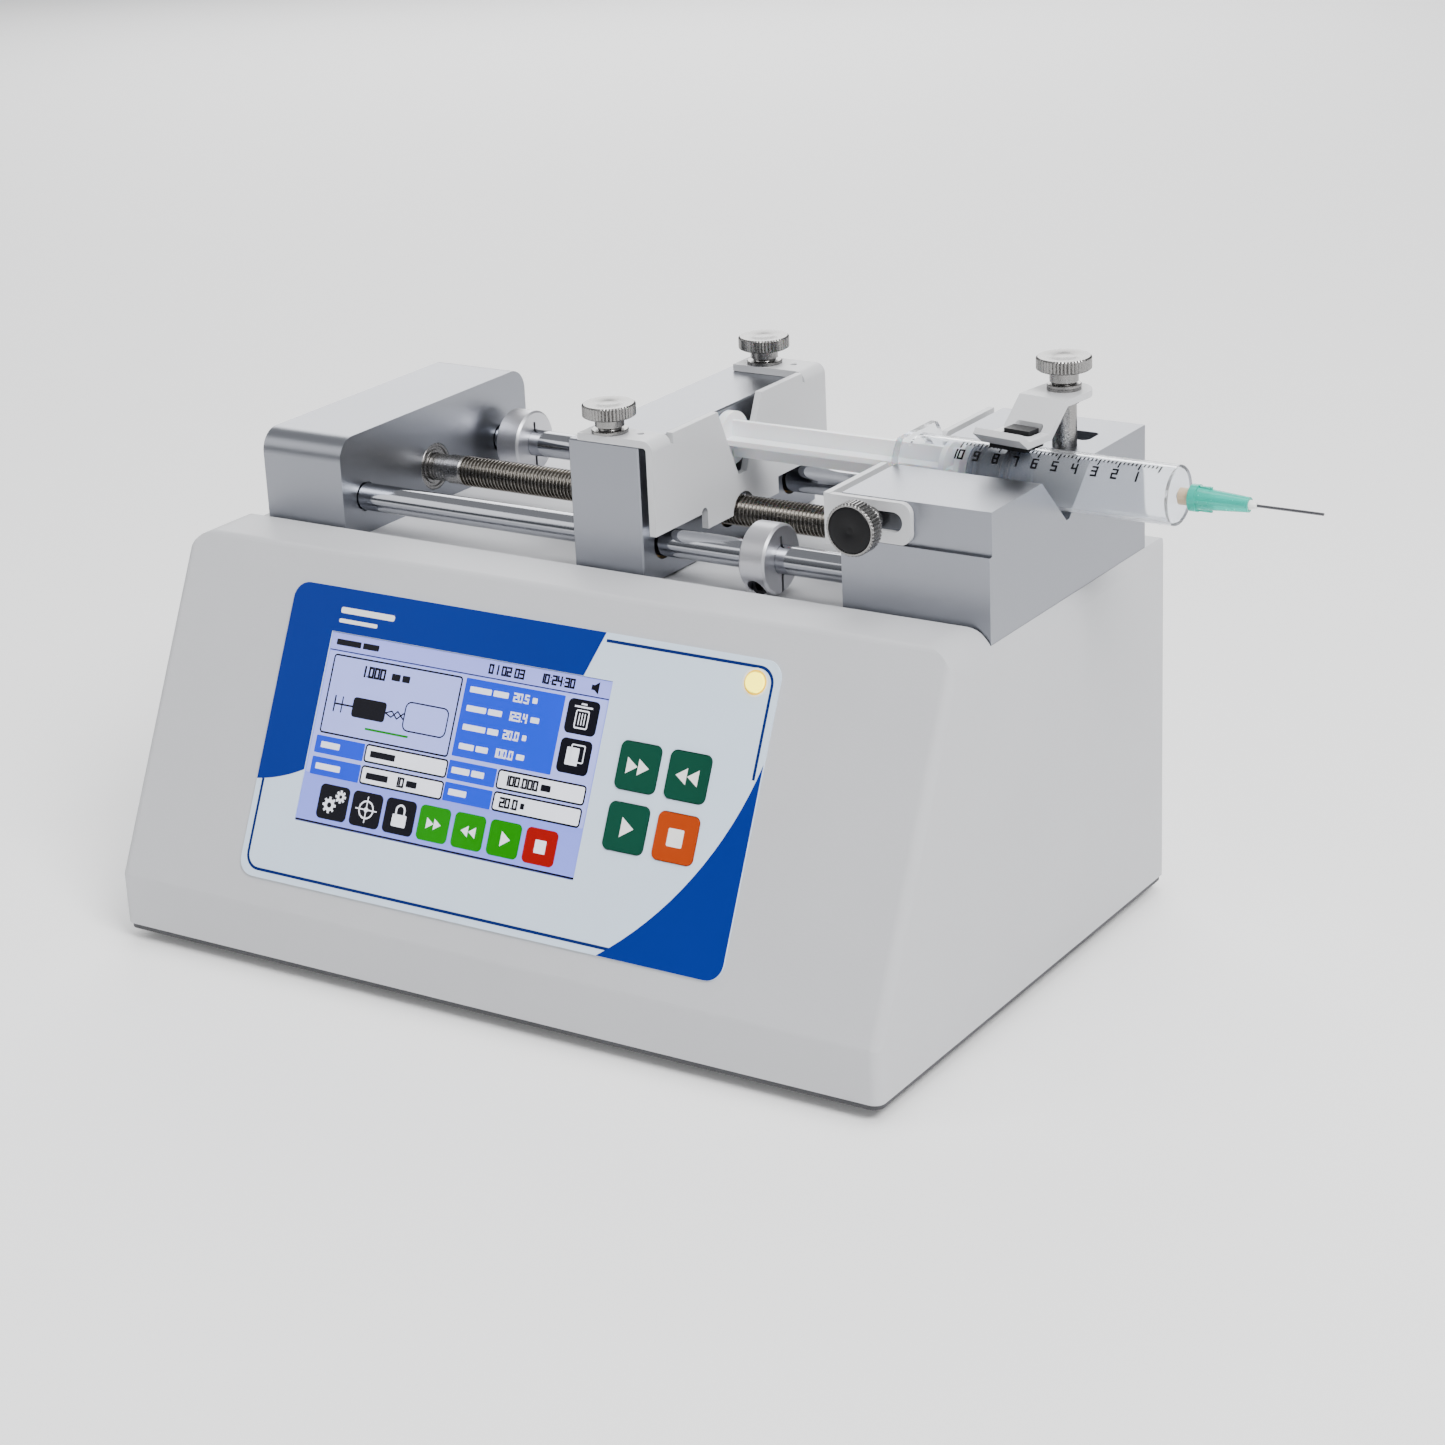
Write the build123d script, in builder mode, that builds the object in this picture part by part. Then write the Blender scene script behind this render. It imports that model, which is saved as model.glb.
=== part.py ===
"""Laboratory syringe pump: sloped-front casing, screw-driven carriage and a clamped syringe.

Millimetres. +X runs to the needle, +Y to the back, +Z up. The origin is the middle of the
overall box, on the surface that the feet stand on.
"""
from build123d import *
from math import atan2, cos, radians, sin, sqrt
import os

# ---------------------------------------------------------------- casing
casing_width = 252.0
casing_depth = 166.9
crest_height = 108.6  # bottom of the base plate to the top of the front ledge
strip_height = 16.7  # upright strip under the sloped face
crest_setback = 45.0  # how far the top of the sloped face lies behind the strip
ledge_depth = 19.4  # flat ledge between the sloped face and the deck
deck_drop = 5.0  # deck below the ledge
wall = 2.5
corner_radius = 9.5  # long top edges, seen from the front
edge_radius = 3.0  # upright and sloping side edges
crease_radius = 2.0
edge_spare = 1.0
foot_height = 3.5
foot_radius = 7.0
foot_inset = 20.0
plate_thickness = 1.3
plate_inset = 0.6
plate_gap = 0.3  # dark line between the shell and the base plate
tab_size = 12.0

# ---------------------------------------------------------------- control panel
overlay_width = 161.2
overlay_height = 84.4
overlay_left = 42.5  # from the casing's left side
overlay_rise = 8.0  # up the sloped face from its lower edge
overlay_thickness = 0.5
overlay_corner = 5.0
display_width = 94.8
display_height = 53.6
display_left = 58.5
display_rise = 26.1
display_module_margin = 5.0
display_module_thickness = 6.0
key_width = 12.6
key_height = 12.8
key_corner = 2.0
key_pitch_x = 15.6
key_pitch_y = 16.3
keys_left = 166.5  # centre of the left-hand key column
keys_rise = 42.4  # centre of the lower key row
key_proud = 0.9
key_travel = 0.4
key_gap = 0.2
led_left = 196.4
led_rise = 86.0
led_radius = 2.6
pcb_thickness = 1.6

# ---------------------------------------------------------------- mechanism on the deck
block_setback = 0.4  # behind the ledge
block_depth = 90.6  # front to back, shared by both blocks and the carriage
drive_inset = 12.8  # drive block from the casing's left side
drive_width = 28.3
drive_height = 30.1
drive_round = 6.5
cradle_inset = 1.3  # cradle block from the casing's right side
cradle_width = 43.7
cradle_height = 35.2
carriage_width = 22.8
carriage_gap = 62.5  # carriage to cradle block at rest
carriage_clearance = 0.5  # over the deck
carriage_top = 40.3  # above the deck
axis_height = 11.0  # rods and screw above the deck
axis_setback = 43.8  # screw behind the blocks' front faces
rod_spacing = 66.9
rod_radius = 4.0
rod_seat = 15.0
screw_radius = 4.5
journal_radius = 3.95
journal_length = 11.5  # plain length outside the drive block
bearing_outer = 7.0
bearing_inner = 4.0
bearing_width = 4.0
running_gap = 0.05
seat_gap = 0.01

# ---------------------------------------------------------------- belt drive and motor
pulley_radius = 9.5
pulley_flange = 11.5
pulley_width = 12.0
pulley_flange_width = 1.5
pulley_gap = 1.5
belt_thickness = 1.5
belt_width = 8.0
belt_gap = 0.05
motor_drop = 30.0  # motor axis below the deck
motor_size = 42.3
motor_length = 40.0
motor_boss_radius = 11.0
motor_boss_height = 2.0
motor_shaft_radius = 2.5
motor_hole_spacing = 31.0
bracket_thickness = 3.0

# ---------------------------------------------------------------- syringe
barrel_radius = 8.0
barrel_wall = 0.9
barrel_length = 78.2
barrel_front = 1.2
barrel_flange_thickness = 2.0
barrel_flange_radius = 13.0
barrel_flange_height = 18.0
syringe_height = 31.9  # syringe axis above the deck
stopper_gap = 0.07
stopper_length = 14.9
plunger_length = 94.1  # thumb rest to the front of the stopper
thumb_radius = 7.5
thumb_thickness = 2.6
thumb_gap = 0.2  # thumb rest to carriage, and barrel flange to cradle block
rib_width = 10.4
rib_thickness = 1.5
luer_radius = 2.1
luer_length = 8.0
luer_gap = 3.3  # barrel front to the needle hub
hub_length = 16.0
hub_radius = 3.0
hub_flange_radius = 3.6
hub_tip_length = 2.0
needle_radius = 0.4
needle_exposed = 18.1

# ---------------------------------------------------------------- plunger retainer
retainer_thickness = 2.0
retainer_space = 3.0  # room for the thumb rest between plate and carriage
retainer_travel = 2.5
retainer_gap = 0.1  # under the plate's tabs and over them
tab_depth_front = 9.2
tab_depth_rear = 11.4
tab_reach = 22.1
notch_bottom = 22.1  # above the deck
notch_bottom_half = 2.05
notch_top_half = 11.5
plate_bottom = 15.9  # above the deck, over the rods
knob_spread = 79.6  # between the two thumb screws

# ---------------------------------------------------------------- knobs
knob_radius = 7.35
knob_rim = 3.7
knob_neck_radius = 4.0
knob_neck = 3.4
knob_flange_radius = 5.1
knob_flange = 0.9
knob_shank_radius = 2.0
knob_shank = 11.0

# ---------------------------------------------------------------- stop collars
collar_radius = 9.65
collar_width = 8.0
collar_slit = 1.0
collar_front_gap = 24.8  # retainer plate to the front collar
collar_rear_gap = 4.7  # drive block to the rear collar

# ---------------------------------------------------------------- flange bracket
rebate_depth = 1.4
rebate_height = 11.8
leg_thickness = 1.8
bracket_gap = 0.4  # left leg to the barrel flange
bracket_reach = 25.6
leg_bottom = 21.2  # above the deck, over the collars
bracket_slot_height = 5.4
bracket_slot_start = 6.9
bracket_slot_end = 2.4
bracket_knob_left = 9.5  # knob axis right of the cradle block's left face
bracket_knob_height = 29.6
bracket_knob_standoff = 11.6
bracket_knob_radius = 7.1
bracket_knob_rim = 5.0
bracket_travel = 7.0

# ---------------------------------------------------------------- syringe clamp
post_radius = 3.4
post_inset = 32.5  # from the cradle block's left face
post_setback = 64.2  # from the cradle block's front face
post_lift = 16.0
post_roof = 26.0  # ceiling of the spring chamber above the deck
chamber_radius = 5.6
spring_outer = 5.1
spring_inner = 4.1
seat_radius = 5.2
seat_lift = 1.2
seat_height = 2.4
stud_radius = 2.5
stud_height = 9.1  # clamp stud above the post's shoulder
arm_width = 15.0
arm_thickness = 1.8
arm_length = 30.5
arm_turn = 8.0  # degrees, towards the carriage
foot_start = 17.0
foot_end = 27.0
slope_start = 9.5
lip_rise = 2.9
pad_gap = 0.3
pad_thickness = 1.4
arm_rise = 7.3  # arm over its own foot
clamp_knob_radius = 7.5

# ---------------------------------------------------------------- rear panel and boards
inlet_left = 205.0
inlet_rise = 34.0
inlet_width = 27.0
inlet_height = 20.0
rear_proud = 2.5
rear_flange = 2.0
switch_left = 168.0
switch_width = 21.0
switch_height = 15.0
rocker_tilt = 9.0
serial_left = 60.0
serial_width = 19.0
serial_height = 11.0

# ---------------------------------------------------------------- fasteners
m3_radius = 1.5
m4_radius = 2.0
clearance = 0.15  # screw shank in its hole, radial

# ================================================================ places
cradle_left_x = casing_width - cradle_inset - cradle_width
flange_left = cradle_left_x - thumb_gap - barrel_flange_thickness
overall_length = (flange_left + barrel_length + luer_gap + hub_length + hub_tip_length
                  + needle_exposed)
x_left = -overall_length / 2
x_right = x_left + casing_width
y_front = -(casing_depth + rear_proud) / 2
y_back = y_front + casing_depth
z_base = foot_height
z_crest = z_base + crest_height
z_deck = z_crest - deck_drop
z_strip = z_base + strip_height
y_crest = y_front + crest_setback
y_ledge = y_crest + ledge_depth
z_shell = z_base + plate_thickness + plate_gap

block_front = y_ledge + block_setback
block_back = block_front + block_depth
drive_x0 = x_left + drive_inset
drive_x1 = drive_x0 + drive_width
cradle_x0 = x_left + cradle_left_x
cradle_x1 = cradle_x0 + cradle_width
carriage_x1 = cradle_x0 - carriage_gap
carriage_x0 = carriage_x1 - carriage_width
axis_y = block_front + axis_setback
axis_z = z_deck + axis_height
rod_front_y = axis_y - rod_spacing / 2
rod_rear_y = axis_y + rod_spacing / 2
syringe_z = z_deck + syringe_height
z_cradle = z_deck + cradle_height
z_carriage = z_deck + carriage_top

slope_angle = atan2(crest_setback, crest_height - strip_height)
face_length = sqrt(crest_setback ** 2 + (crest_height - strip_height) ** 2)


def face_plane(left, rise, out=0.0):
    """Plane on the sloped face, at a point measured from its lower left corner."""
    across = cos(slope_angle)
    along = sin(slope_angle)
    return Plane(
        origin=(
            x_left + left,
            y_front + rise * along - out * across,
            z_strip + rise * across + out * along,
        ),
        x_dir=(1, 0, 0),
        z_dir=(0, -across, along),
    )


def across_plane(x):
    """Plane looking along +X, with local x along +Y and local y along +Z."""
    return Plane(origin=(x, 0, 0), x_dir=(0, 1, 0), z_dir=(1, 0, 0))


def rear_plane(left, rise, out=0.0):
    """Plane on the back wall, facing backwards, measured from the casing's left bottom edge."""
    return Plane(
        origin=(x_left + left, y_back + out, z_base + rise), x_dir=(-1, 0, 0), z_dir=(0, 1, 0)
    )


def export(builder, label):
    builder.part.label = label
    export_step(builder.part, f"parts/{label}.step")


os.makedirs("parts", exist_ok=True)

key_places = {
    "key_forward": (keys_left, keys_rise + key_pitch_y),
    "key_reverse": (keys_left + key_pitch_x, keys_rise + key_pitch_y),
    "key_run": (keys_left, keys_rise),
    "key_stop": (keys_left + key_pitch_x, keys_rise),
}
display_x = display_left + display_width / 2
display_y = display_rise + display_height / 2
module_width = display_width + 2 * display_module_margin
module_height = display_height + 2 * display_module_margin
stud_length = 9.5
stud_inset = 3.0
display_studs = [
    (display_x + sx * (module_width / 2 - stud_inset), display_y + sy * (module_height / 2 - stud_inset))
    for sx in (-1, 1)
    for sy in (-1, 1)
]
key_board_left = display_left + display_width + display_module_margin + 1.0
key_board_width = overlay_left + overlay_width - key_board_left - 2.0
key_board_low = keys_rise - key_height / 2 - 7.5
key_board_high = led_rise + 5.0
key_board_x = key_board_left + key_board_width / 2
key_board_y = (key_board_low + key_board_high) / 2
key_board_height = key_board_high - key_board_low
board_studs = [
    (key_board_left + 3.0, key_board_low + 3.0),
    (key_board_left + key_board_width - 3.0, key_board_low + 3.0),
    (key_board_left + 3.0, key_board_high - 3.0),
    (key_board_left + key_board_width - 3.0, key_board_low + 38.0),
]
base_tabs = [
    (x_left + wall + tab_size / 2, y_front + 26.0),
    (x_left + wall + tab_size / 2, y_back - 26.0),
    (x_right - wall - tab_size / 2, y_front + 26.0),
    (x_right - wall - tab_size / 2, y_back - 26.0),
]
drive_screws = [
    (drive_x0 + 6.7, rod_front_y),
    (drive_x0 + 6.7, rod_rear_y),
    (drive_x0 + 14.0, axis_y - 23.0),
    (drive_x0 + 14.0, axis_y + 23.0),
]
cradle_screws = [
    (cradle_x0 + 8.0, axis_y - 16.8),
    (cradle_x0 + 8.0, axis_y + 16.8),
    (cradle_x0 + 30.0, block_front + 8.0),
    (cradle_x0 + 30.0, block_back - 8.0),
]
foot_places = [
    (x, y)
    for x in (x_left + foot_inset, x_right - foot_inset)
    for y in (y_front + foot_inset, y_back - foot_inset)
]
pulley_x0 = drive_x0 + 3.2 + pulley_gap
pulley_x1 = pulley_x0 + pulley_width
pocket_x0 = pulley_x0 - pulley_gap
pocket_x1 = pulley_x1 + pulley_gap
pocket_half = pulley_flange + 4.0
motor_z = z_deck - motor_drop
rod_mouth = 0.8
block_tap_depth = 9.0

# ================================================================ casing
casing_profile = [
    (y_front, z_shell),
    (y_front, z_strip),
    (y_crest, z_crest),
    (y_ledge, z_crest),
    (y_ledge, z_deck),
    (y_back, z_deck),
    (y_back, z_shell),
]
with BuildPart() as casing_hollow:
    with BuildSketch(across_plane(x_left + wall)):
        with BuildLine():
            Polyline(*casing_profile, close=True)
        make_face()
        offset(amount=-wall, kind=Kind.INTERSECTION)
        with Locations(((y_front + y_back) / 2, z_shell)):
            Rectangle(casing_depth - 2 * wall, 4 * wall)
    extrude(amount=casing_width - 2 * wall)
    with BuildSketch(Plane.XZ):
        with Locations(((x_left + x_right) / 2, z_crest - wall - casing_width / 2)):
            RectangleRounded(casing_width - 2 * wall, casing_width, corner_radius - wall)
    extrude(amount=casing_depth, both=True, mode=Mode.INTERSECT)

with BuildPart() as casing_shell:
    with BuildSketch(across_plane(x_left)):
        with BuildLine():
            Polyline(*casing_profile, close=True)
        make_face()
        # folds, crease fillets in the outline
        for fold in ((y_front, z_strip), (y_crest, z_crest), (y_ledge, z_crest), (y_back, z_deck)):
            fillet(vertices().sort_by_distance(fold)[0], radius=crease_radius)
    extrude(amount=casing_width)
    # the long top edges are rounded as seen from the front
    with BuildSketch(Plane.XZ):
        with Locations(((x_left + x_right) / 2, z_crest - casing_width / 2)):
            RectangleRounded(casing_width, casing_width, corner_radius)
    extrude(amount=casing_depth, both=True, mode=Mode.INTERSECT)
    # upright and sloping side edges
    for edge_y, edge_z, rise_y, rise_z, inward_y in (
        (y_front, z_base, 0, 1, 1),
        (y_front, z_strip, sin(slope_angle), cos(slope_angle), 1),
        (y_back, z_base, 0, 1, -1),
    ):
        for edge_x, inward_x in ((x_left, 1), (x_right, -1)):
            edge_plane = Plane(
                origin=(edge_x, edge_y - face_length * rise_y, edge_z - face_length * rise_z),
                x_dir=(inward_x, 0, 0),
                z_dir=(0, rise_y * inward_x * inward_y, rise_z * inward_x * inward_y),
            )
            with BuildSketch(edge_plane):
                with Locations((edge_radius / 2 - edge_spare / 2, edge_radius / 2 - edge_spare / 2)):
                    Rectangle(edge_radius + edge_spare, edge_radius + edge_spare)
                with Locations((edge_radius, edge_radius)):
                    Circle(edge_radius, mode=Mode.SUBTRACT)
            extrude(amount=3 * face_length * inward_x * inward_y, mode=Mode.SUBTRACT)
    # hollow inside, open at the bottom
    add(casing_hollow.part, mode=Mode.SUBTRACT)
    # folded tabs that take the base screws
    with BuildSketch(Plane.XY.offset(z_shell)):
        with Locations(*base_tabs):
            Rectangle(tab_size, tab_size)
    extrude(amount=wall)
    with BuildSketch(Plane.XY.offset(z_shell)):
        with Locations(*base_tabs):
            Circle(m3_radius + running_gap)
    extrude(amount=wall, mode=Mode.SUBTRACT)
    # studs behind the control panel
    with BuildSketch(face_plane(0, 0, -wall / 2)):
        with Locations(*display_studs, *board_studs):
            Circle(m3_radius)
    extrude(amount=-stud_length)
    # windows in the sloped face
    with BuildSketch(face_plane(0, 0)):
        with Locations((display_x, display_y)):
            Rectangle(display_width + 2 * key_gap, display_height + 2 * key_gap)
        with Locations(*key_places.values()):
            RectangleRounded(key_width + 2 * key_gap, key_height + 2 * key_gap, key_corner)
        with Locations((led_left, led_rise)):
            Circle(led_radius + key_gap)
    extrude(amount=-2 * wall, mode=Mode.SUBTRACT)
    # belt slot and screw holes in the deck
    with BuildSketch(Plane.XY.offset(z_deck)):
        with Locations(((pocket_x0 + pocket_x1) / 2, axis_y)):
            Rectangle(pocket_x1 - pocket_x0, 2 * pocket_half)
        with Locations(*drive_screws, *cradle_screws):
            Circle(m4_radius + clearance)
    extrude(amount=-2 * wall, mode=Mode.SUBTRACT)
    # openings in the back wall
    with BuildSketch(rear_plane(inlet_left, inlet_rise)):
        Rectangle(inlet_width + 2 * key_gap, inlet_height + 2 * key_gap)
    extrude(amount=-2 * wall, mode=Mode.SUBTRACT)
    with BuildSketch(rear_plane(switch_left, inlet_rise)):
        Rectangle(switch_width + 2 * key_gap, switch_height + 2 * key_gap)
    extrude(amount=-2 * wall, mode=Mode.SUBTRACT)
    with BuildSketch(rear_plane(serial_left, inlet_rise)):
        Rectangle(serial_width + 2 * key_gap, serial_height + 2 * key_gap)
    extrude(amount=-2 * wall, mode=Mode.SUBTRACT)
export(casing_shell, "casing_shell")

with BuildPart() as base_plate:
    with BuildSketch(Plane.XY.offset(z_base)):
        with Locations(((x_left + x_right) / 2, (y_front + y_back) / 2)):
            RectangleRounded(
                casing_width - 2 * plate_inset, casing_depth - 2 * plate_inset, edge_radius
            )
        with Locations(*base_tabs, *foot_places):
            Circle(m3_radius + clearance, mode=Mode.SUBTRACT)
    extrude(amount=plate_thickness)
    # pressed pads that carry the shell's tabs
    with BuildSketch(Plane.XY.offset(z_base + plate_thickness)):
        with Locations(*base_tabs):
            Circle(m3_radius + 2.0)
            Circle(m3_radius + clearance, mode=Mode.SUBTRACT)
    extrude(amount=plate_gap)
export(base_plate, "base_plate")

foot_recess = 2.2
with BuildPart() as rubber_feet:
    with BuildSketch():
        with Locations(*foot_places):
            Circle(foot_radius)
    extrude(amount=foot_height, taper=4)
    with BuildSketch():
        with Locations(*foot_places):
            Circle(m3_radius + 1.6)
    extrude(amount=foot_recess, mode=Mode.SUBTRACT)
    with BuildSketch():
        with Locations(*foot_places):
            Circle(m3_radius + clearance)
    extrude(amount=foot_height, mode=Mode.SUBTRACT)
export(rubber_feet, "rubber_feet")

base_head_height = 1.6
base_head_radius = 2.9
with BuildPart() as base_screws:
    # foot screws with their nuts inside, and tab screws under the plate
    with BuildSketch(Plane.XY.offset(foot_recess - base_head_height)):
        with Locations(*foot_places):
            Circle(base_head_radius)
    extrude(amount=base_head_height)
    with BuildSketch(Plane.XY.offset(foot_recess)):
        with Locations(*foot_places):
            Circle(m3_radius)
    extrude(amount=foot_height - foot_recess + plate_thickness + 4.0)
    with BuildSketch(Plane.XY.offset(z_base + plate_thickness)):
        with Locations(*foot_places):
            RegularPolygon(radius=3.1, side_count=6)
            Circle(m3_radius, mode=Mode.SUBTRACT)
    extrude(amount=2.4)
    with BuildSketch(Plane.XY.offset(z_base - base_head_height)):
        with Locations(*base_tabs):
            Circle(base_head_radius)
    extrude(amount=base_head_height)
    with BuildSketch(Plane.XY.offset(z_base)):
        with Locations(*base_tabs):
            Circle(m3_radius)
    extrude(amount=plate_thickness + plate_gap + wall + 1.0)
export(base_screws, "base_screws")

# ================================================================ control panel
with BuildPart() as panel_overlay:
    with BuildSketch(face_plane(0, 0)):
        with Locations((overlay_left + overlay_width / 2, overlay_rise + overlay_height / 2)):
            RectangleRounded(overlay_width, overlay_height, overlay_corner)
        with Locations((display_x, display_y)):
            Rectangle(display_width + key_gap, display_height + key_gap, mode=Mode.SUBTRACT)
        with Locations(*key_places.values()):
            RectangleRounded(
                key_width + 2 * key_gap, key_height + 2 * key_gap, key_corner, mode=Mode.SUBTRACT
            )
        with Locations((led_left, led_rise)):
            Circle(led_radius + key_gap, mode=Mode.SUBTRACT)
    extrude(amount=overlay_thickness)
export(panel_overlay, "panel_overlay")

with BuildPart() as display_glass:
    with BuildSketch(face_plane(display_x, display_y, overlay_thickness / 2)):
        Rectangle(display_width, display_height)
    extrude(amount=-wall - overlay_thickness / 2)
export(display_glass, "display_glass")

with BuildPart() as display_module:
    with BuildSketch(face_plane(display_x, display_y, -wall - plate_gap)):
        Rectangle(module_width, module_height)
        with GridLocations(module_width - 2 * stud_inset, module_height - 2 * stud_inset, 2, 2):
            Circle(m3_radius + clearance, mode=Mode.SUBTRACT)
    extrude(amount=-display_module_thickness)
    with BuildSketch(face_plane(display_x, display_y, -wall)):
        Rectangle(display_width - 2.0, display_height - 2.0)
    extrude(amount=-plate_gap)
export(display_module, "display_module")

key_flange = 1.0
key_flange_thickness = 0.8
dome_height = 0.8
key_back = wall + key_gap + key_flange_thickness
for label, place in key_places.items():
    with BuildPart() as key:
        with BuildSketch(face_plane(*place, key_proud)):
            RectangleRounded(key_width, key_height, key_corner - key_gap)
        extrude(amount=-key_proud - wall - key_gap)
        with BuildSketch(face_plane(*place, -wall - key_gap)):
            Rectangle(key_width + 2 * key_flange, key_height + 2 * key_flange)
        extrude(amount=-key_flange_thickness)
    export(key, label)

board_top = key_back + key_travel + dome_height + 0.1
with BuildPart() as key_board:
    with BuildSketch(face_plane(key_board_x, key_board_y, -board_top)):
        Rectangle(key_board_width, key_board_height)
    extrude(amount=-pcb_thickness)
    with BuildSketch(face_plane(0, 0, -board_top)):
        with Locations(*board_studs):
            Circle(m3_radius + clearance)
    extrude(amount=-pcb_thickness, mode=Mode.SUBTRACT)
    with BuildSketch(face_plane(0, 0, -board_top)):
        with Locations(*key_places.values()):
            Circle(3.0)
    extrude(amount=dome_height, taper=20)
export(key_board, "key_board")

nut_thickness = 2.4
with BuildPart() as panel_nuts:
    with BuildSketch(face_plane(0, 0, -wall - plate_gap - display_module_thickness)):
        with Locations(*display_studs):
            RegularPolygon(radius=2.9, side_count=6)
            Circle(m3_radius + running_gap, mode=Mode.SUBTRACT)
    extrude(amount=-0.8)
    with BuildSketch(face_plane(0, 0, -board_top - pcb_thickness)):
        with Locations(*board_studs):
            RegularPolygon(radius=2.9, side_count=6)
            Circle(m3_radius + running_gap, mode=Mode.SUBTRACT)
    extrude(amount=-nut_thickness)
export(panel_nuts, "panel_nuts")

with BuildPart() as status_led:
    with BuildSketch(face_plane(led_left, led_rise, -board_top)):
        Circle(led_radius)
    extrude(amount=board_top + overlay_thickness + 0.8)
export(status_led, "status_led")

# ================================================================ boards and rear panel
standoff_height = 8.0
board_width = 88.0
board_depth = 52.0
board_x = x_left + 66.0
board_y = y_front + 92.0
board_z = z_base + plate_thickness + standoff_height
board_hole_inset = 4.0
with BuildPart() as main_board:
    with BuildSketch(Plane.XY.offset(board_z)):
        with Locations((board_x, board_y)):
            Rectangle(board_width, board_depth)
            with GridLocations(
                board_width - 2 * board_hole_inset, board_depth - 2 * board_hole_inset, 2, 2
            ):
                Circle(m3_radius + clearance, mode=Mode.SUBTRACT)
    extrude(amount=pcb_thickness)
    chips = ((-18.0, 4.0, 14.0, 14.0, 2.0), (8.0, 10.0, 10.0, 6.0, 1.8), (26.0, -6.0, 12.0, 16.0, 9.0),
             (-30.0, -16.0, 16.0, 6.0, 8.0), (4.0, -17.0, 20.0, 6.0, 8.0))
    for chip_x, chip_y, chip_w, chip_d, chip_h in chips:
        with BuildSketch(Plane.XY.offset(board_z + pcb_thickness)):
            with Locations((board_x + chip_x, board_y + chip_y)):
                Rectangle(chip_w, chip_d)
        extrude(amount=chip_h)
export(main_board, "main_board")

with BuildPart() as board_standoffs:
    with BuildSketch(Plane.XY.offset(z_base + plate_thickness)):
        with Locations((board_x, board_y)):
            with GridLocations(
                board_width - 2 * board_hole_inset, board_depth - 2 * board_hole_inset, 2, 2
            ):
                RegularPolygon(radius=3.2, side_count=6)
    extrude(amount=standoff_height)
    with BuildSketch(Plane.XY.offset(board_z)):
        with Locations((board_x, board_y)):
            with GridLocations(
                board_width - 2 * board_hole_inset, board_depth - 2 * board_hole_inset, 2, 2
            ):
                Circle(m3_radius)
    extrude(amount=pcb_thickness + 2.0)
export(board_standoffs, "board_standoffs")

supply_width = 74.0
supply_depth = 46.0
supply_height = 26.0
supply_x = x_right - 62.0
supply_y = y_back - 46.0
with BuildPart() as power_supply:
    with BuildSketch(Plane.XY.offset(z_base + plate_thickness)):
        with Locations((supply_x, supply_y)):
            Rectangle(supply_width, supply_depth)
    extrude(amount=supply_height)
    with BuildSketch(Plane.XY.offset(z_base + plate_thickness + supply_height)):
        with Locations((supply_x, supply_y)):
            with GridLocations(7.0, supply_depth / 2, 8, 2):
                Rectangle(2.5, supply_depth / 2 - 6.0)
    extrude(amount=-1.0, mode=Mode.SUBTRACT)
export(power_supply, "power_supply")

pin_width = 2.0
with BuildPart() as power_inlet:
    with BuildSketch(rear_plane(inlet_left, inlet_rise)):
        RectangleRounded(inlet_width + 14.0, inlet_height + 4.0, 3.0)
    extrude(amount=rear_flange)
    with BuildSketch(rear_plane(inlet_left, inlet_rise)):
        Rectangle(inlet_width, inlet_height)
    extrude(amount=-16.0)
    with BuildSketch(rear_plane(inlet_left, inlet_rise, rear_flange)):
        RectangleRounded(inlet_width - 4.0, inlet_height - 5.0, 3.0)
    extrude(amount=-14.0, mode=Mode.SUBTRACT)
    with BuildSketch(rear_plane(inlet_left, inlet_rise, rear_flange - 14.0)):
        with Locations((-7.0, -1.5), (0, 2.0), (7.0, -1.5)):
            Rectangle(pin_width, 2 * pin_width)
    extrude(amount=7.5)
export(power_inlet, "power_inlet")

rocker_gap = 0.4
rocker_width = switch_width - 5.0
rocker_height = switch_height - 5.0
rocker_axis_depth = 3.0
with BuildPart() as switch_housing:
    with BuildSketch(rear_plane(switch_left, inlet_rise)):
        RectangleRounded(switch_width + 3.0, switch_height + 3.0, 1.0)
    extrude(amount=rear_flange - 0.5)
    with BuildSketch(rear_plane(switch_left, inlet_rise)):
        Rectangle(switch_width, switch_height)
    extrude(amount=-15.0)
    with BuildSketch(rear_plane(switch_left, inlet_rise, rear_flange)):
        Rectangle(rocker_width + 2 * rocker_gap, rocker_height + 2 * rocker_gap)
    extrude(amount=-12.0, mode=Mode.SUBTRACT)
export(switch_housing, "switch_housing")

rocker_x = x_left + switch_left
rocker_y = y_back - rocker_axis_depth
rocker_plane = Plane(
    origin=(rocker_x, rocker_y, z_base + inlet_rise - rocker_height / 2),
    x_dir=(cos(radians(rocker_tilt)), -sin(radians(rocker_tilt)), 0),
    z_dir=(0, 0, 1),
)
rocker_tip = 3.9
rocker_dip = 3.0
rocker_root = 4.0
with BuildPart() as switch_rocker:
    with BuildSketch(rocker_plane):
        with BuildLine():
            Polyline(
                (-rocker_width / 2 + 1.0, rocker_tip),
                (0, rocker_dip),
                (rocker_width / 2 - 1.0, rocker_tip),
                (rocker_width / 2 - 2.5, -rocker_root),
                (-rocker_width / 2 + 2.5, -rocker_root),
                close=True,
            )
        make_face()
    extrude(amount=rocker_height)
export(switch_rocker, "switch_rocker")

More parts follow.
